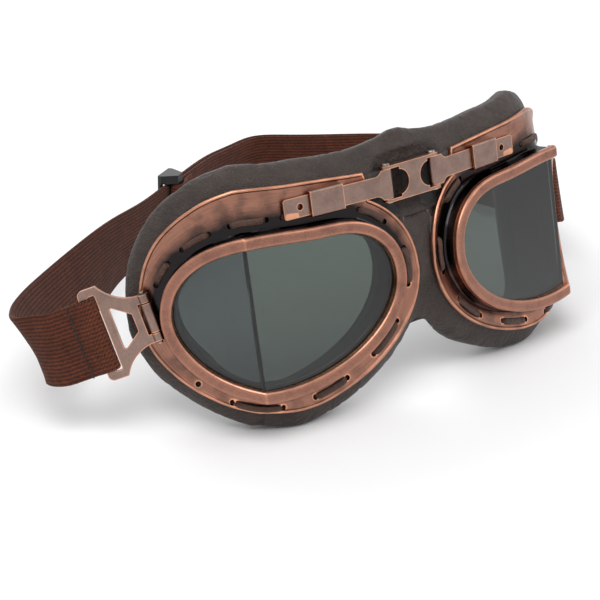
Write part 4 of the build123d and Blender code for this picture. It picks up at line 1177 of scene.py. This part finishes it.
class GOGGLES_OT_lacing(bpy.types.Operator):
    """Lace the leather to the cups through their pierced flanges"""
    bl_idname = "goggles.lacing"
    bl_label = "Lacing"

    def execute(self, context):
        hide = rubbed_leather("leather_lace", context.scene.goggles_soft.lace, "#523629")
        runs = [self.over_fold(SIDE_HOLES[0], FRONT_HOLES[0], 0.0)]
        runs += [edge_stations(SIDE, np.linspace(SIDE_HOLES[i + 1], SIDE_HOLES[i], 15)) for i in (1, 3)]
        runs += [edge_stations(FRONT, np.linspace(FRONT_HOLES[i], FRONT_HOLES[i + 1], 15))
                 for i in range(1, 12, 2)]
        runs += [self.over_fold(SIDE_HOLES[6], FRONT_HOLES[13], 1.0)]
        strips = [self.strip(point, outward) for point, outward in runs]
        for side, flip in SIDES:
            piece = tubes_piece(side + "_lace", [row_frame(strip * flip) for strip in strips])
            piece.data.materials.append(hide)
            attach(piece, side + "_eye")
        return {"FINISHED"}

    def over_fold(self, side, front, fold):
        """Stations from a hole beside the side pane, over the fold, to one beside the front pane."""
        return joined(edge_stations(SIDE, np.linspace(side, fold, 8)),
                      edge_stations(FRONT, np.linspace(fold, front, 8)[1:]))

    def strip(self, point, outward):
        """Rings of a flat lace that dips into a hole at either end."""
        lift = LACE_HALF_THICK - LACE_DIP * np.abs(np.linspace(-1, 1, len(point))) ** 8
        rows = []
        for a in np.linspace(0, 2 * math.pi, 12, endpoint=False):
            wide = math.copysign(abs(math.cos(a)) ** 0.6, math.cos(a)) * LACE_HALF_WIDTH
            high = math.copysign(abs(math.sin(a)) ** 0.7, math.sin(a)) * LACE_HALF_THICK
            rows.append(flange_place(point, outward, RIM_WIDTH + LACE_OUT + wide, lift + high))
        return np.array(rows).transpose(1, 0, 2)


class VIEW3D_PT_goggles(bpy.types.Panel):
    """Lists the goggles' settings and the buttons that make its pieces"""
    bl_idname = "VIEW3D_PT_goggles"
    bl_label = "Aviator Goggles"
    bl_space_type = "VIEW_3D"
    bl_region_type = "UI"
    bl_category = "Goggles"

    def draw(self, context):
        layout = self.layout
        for group, _ in GROUPS:
            box = layout.box()
            settings = getattr(context.scene, group)
            for name in settings.__annotations__:
                box.prop(settings, name)
        for made in OPERATORS:
            layout.operator(made.bl_idname)


GROUPS = (("goggles_stage", GogglesStageSettings), ("goggles_metal", GogglesMetalSettings),
          ("goggles_soft", GogglesSoftSettings))
OPERATORS = (GOGGLES_OT_stage, GOGGLES_OT_metal, GOGGLES_OT_lenses, GOGGLES_OT_leather,
             GOGGLES_OT_cushions, GOGGLES_OT_strap, GOGGLES_OT_lacing)


def register():
    for name, group in GROUPS:
        bpy.utils.register_class(group)
        setattr(bpy.types.Scene, name, bpy.props.PointerProperty(type=group))
    for made in OPERATORS + (VIEW3D_PT_goggles,):
        bpy.utils.register_class(made)


def unregister():
    for made in reversed(OPERATORS + (VIEW3D_PT_goggles,)):
        bpy.utils.unregister_class(made)
    for name, group in reversed(GROUPS):
        delattr(bpy.types.Scene, name)
        bpy.utils.unregister_class(group)


def main():
    register()
    bpy.ops.goggles.stage()
    bpy.ops.goggles.metal()
    bpy.ops.goggles.lenses()
    bpy.ops.goggles.leather()
    bpy.ops.goggles.cushions()
    bpy.ops.goggles.strap()
    bpy.ops.goggles.lacing()


if __name__ == "__main__":
    main()
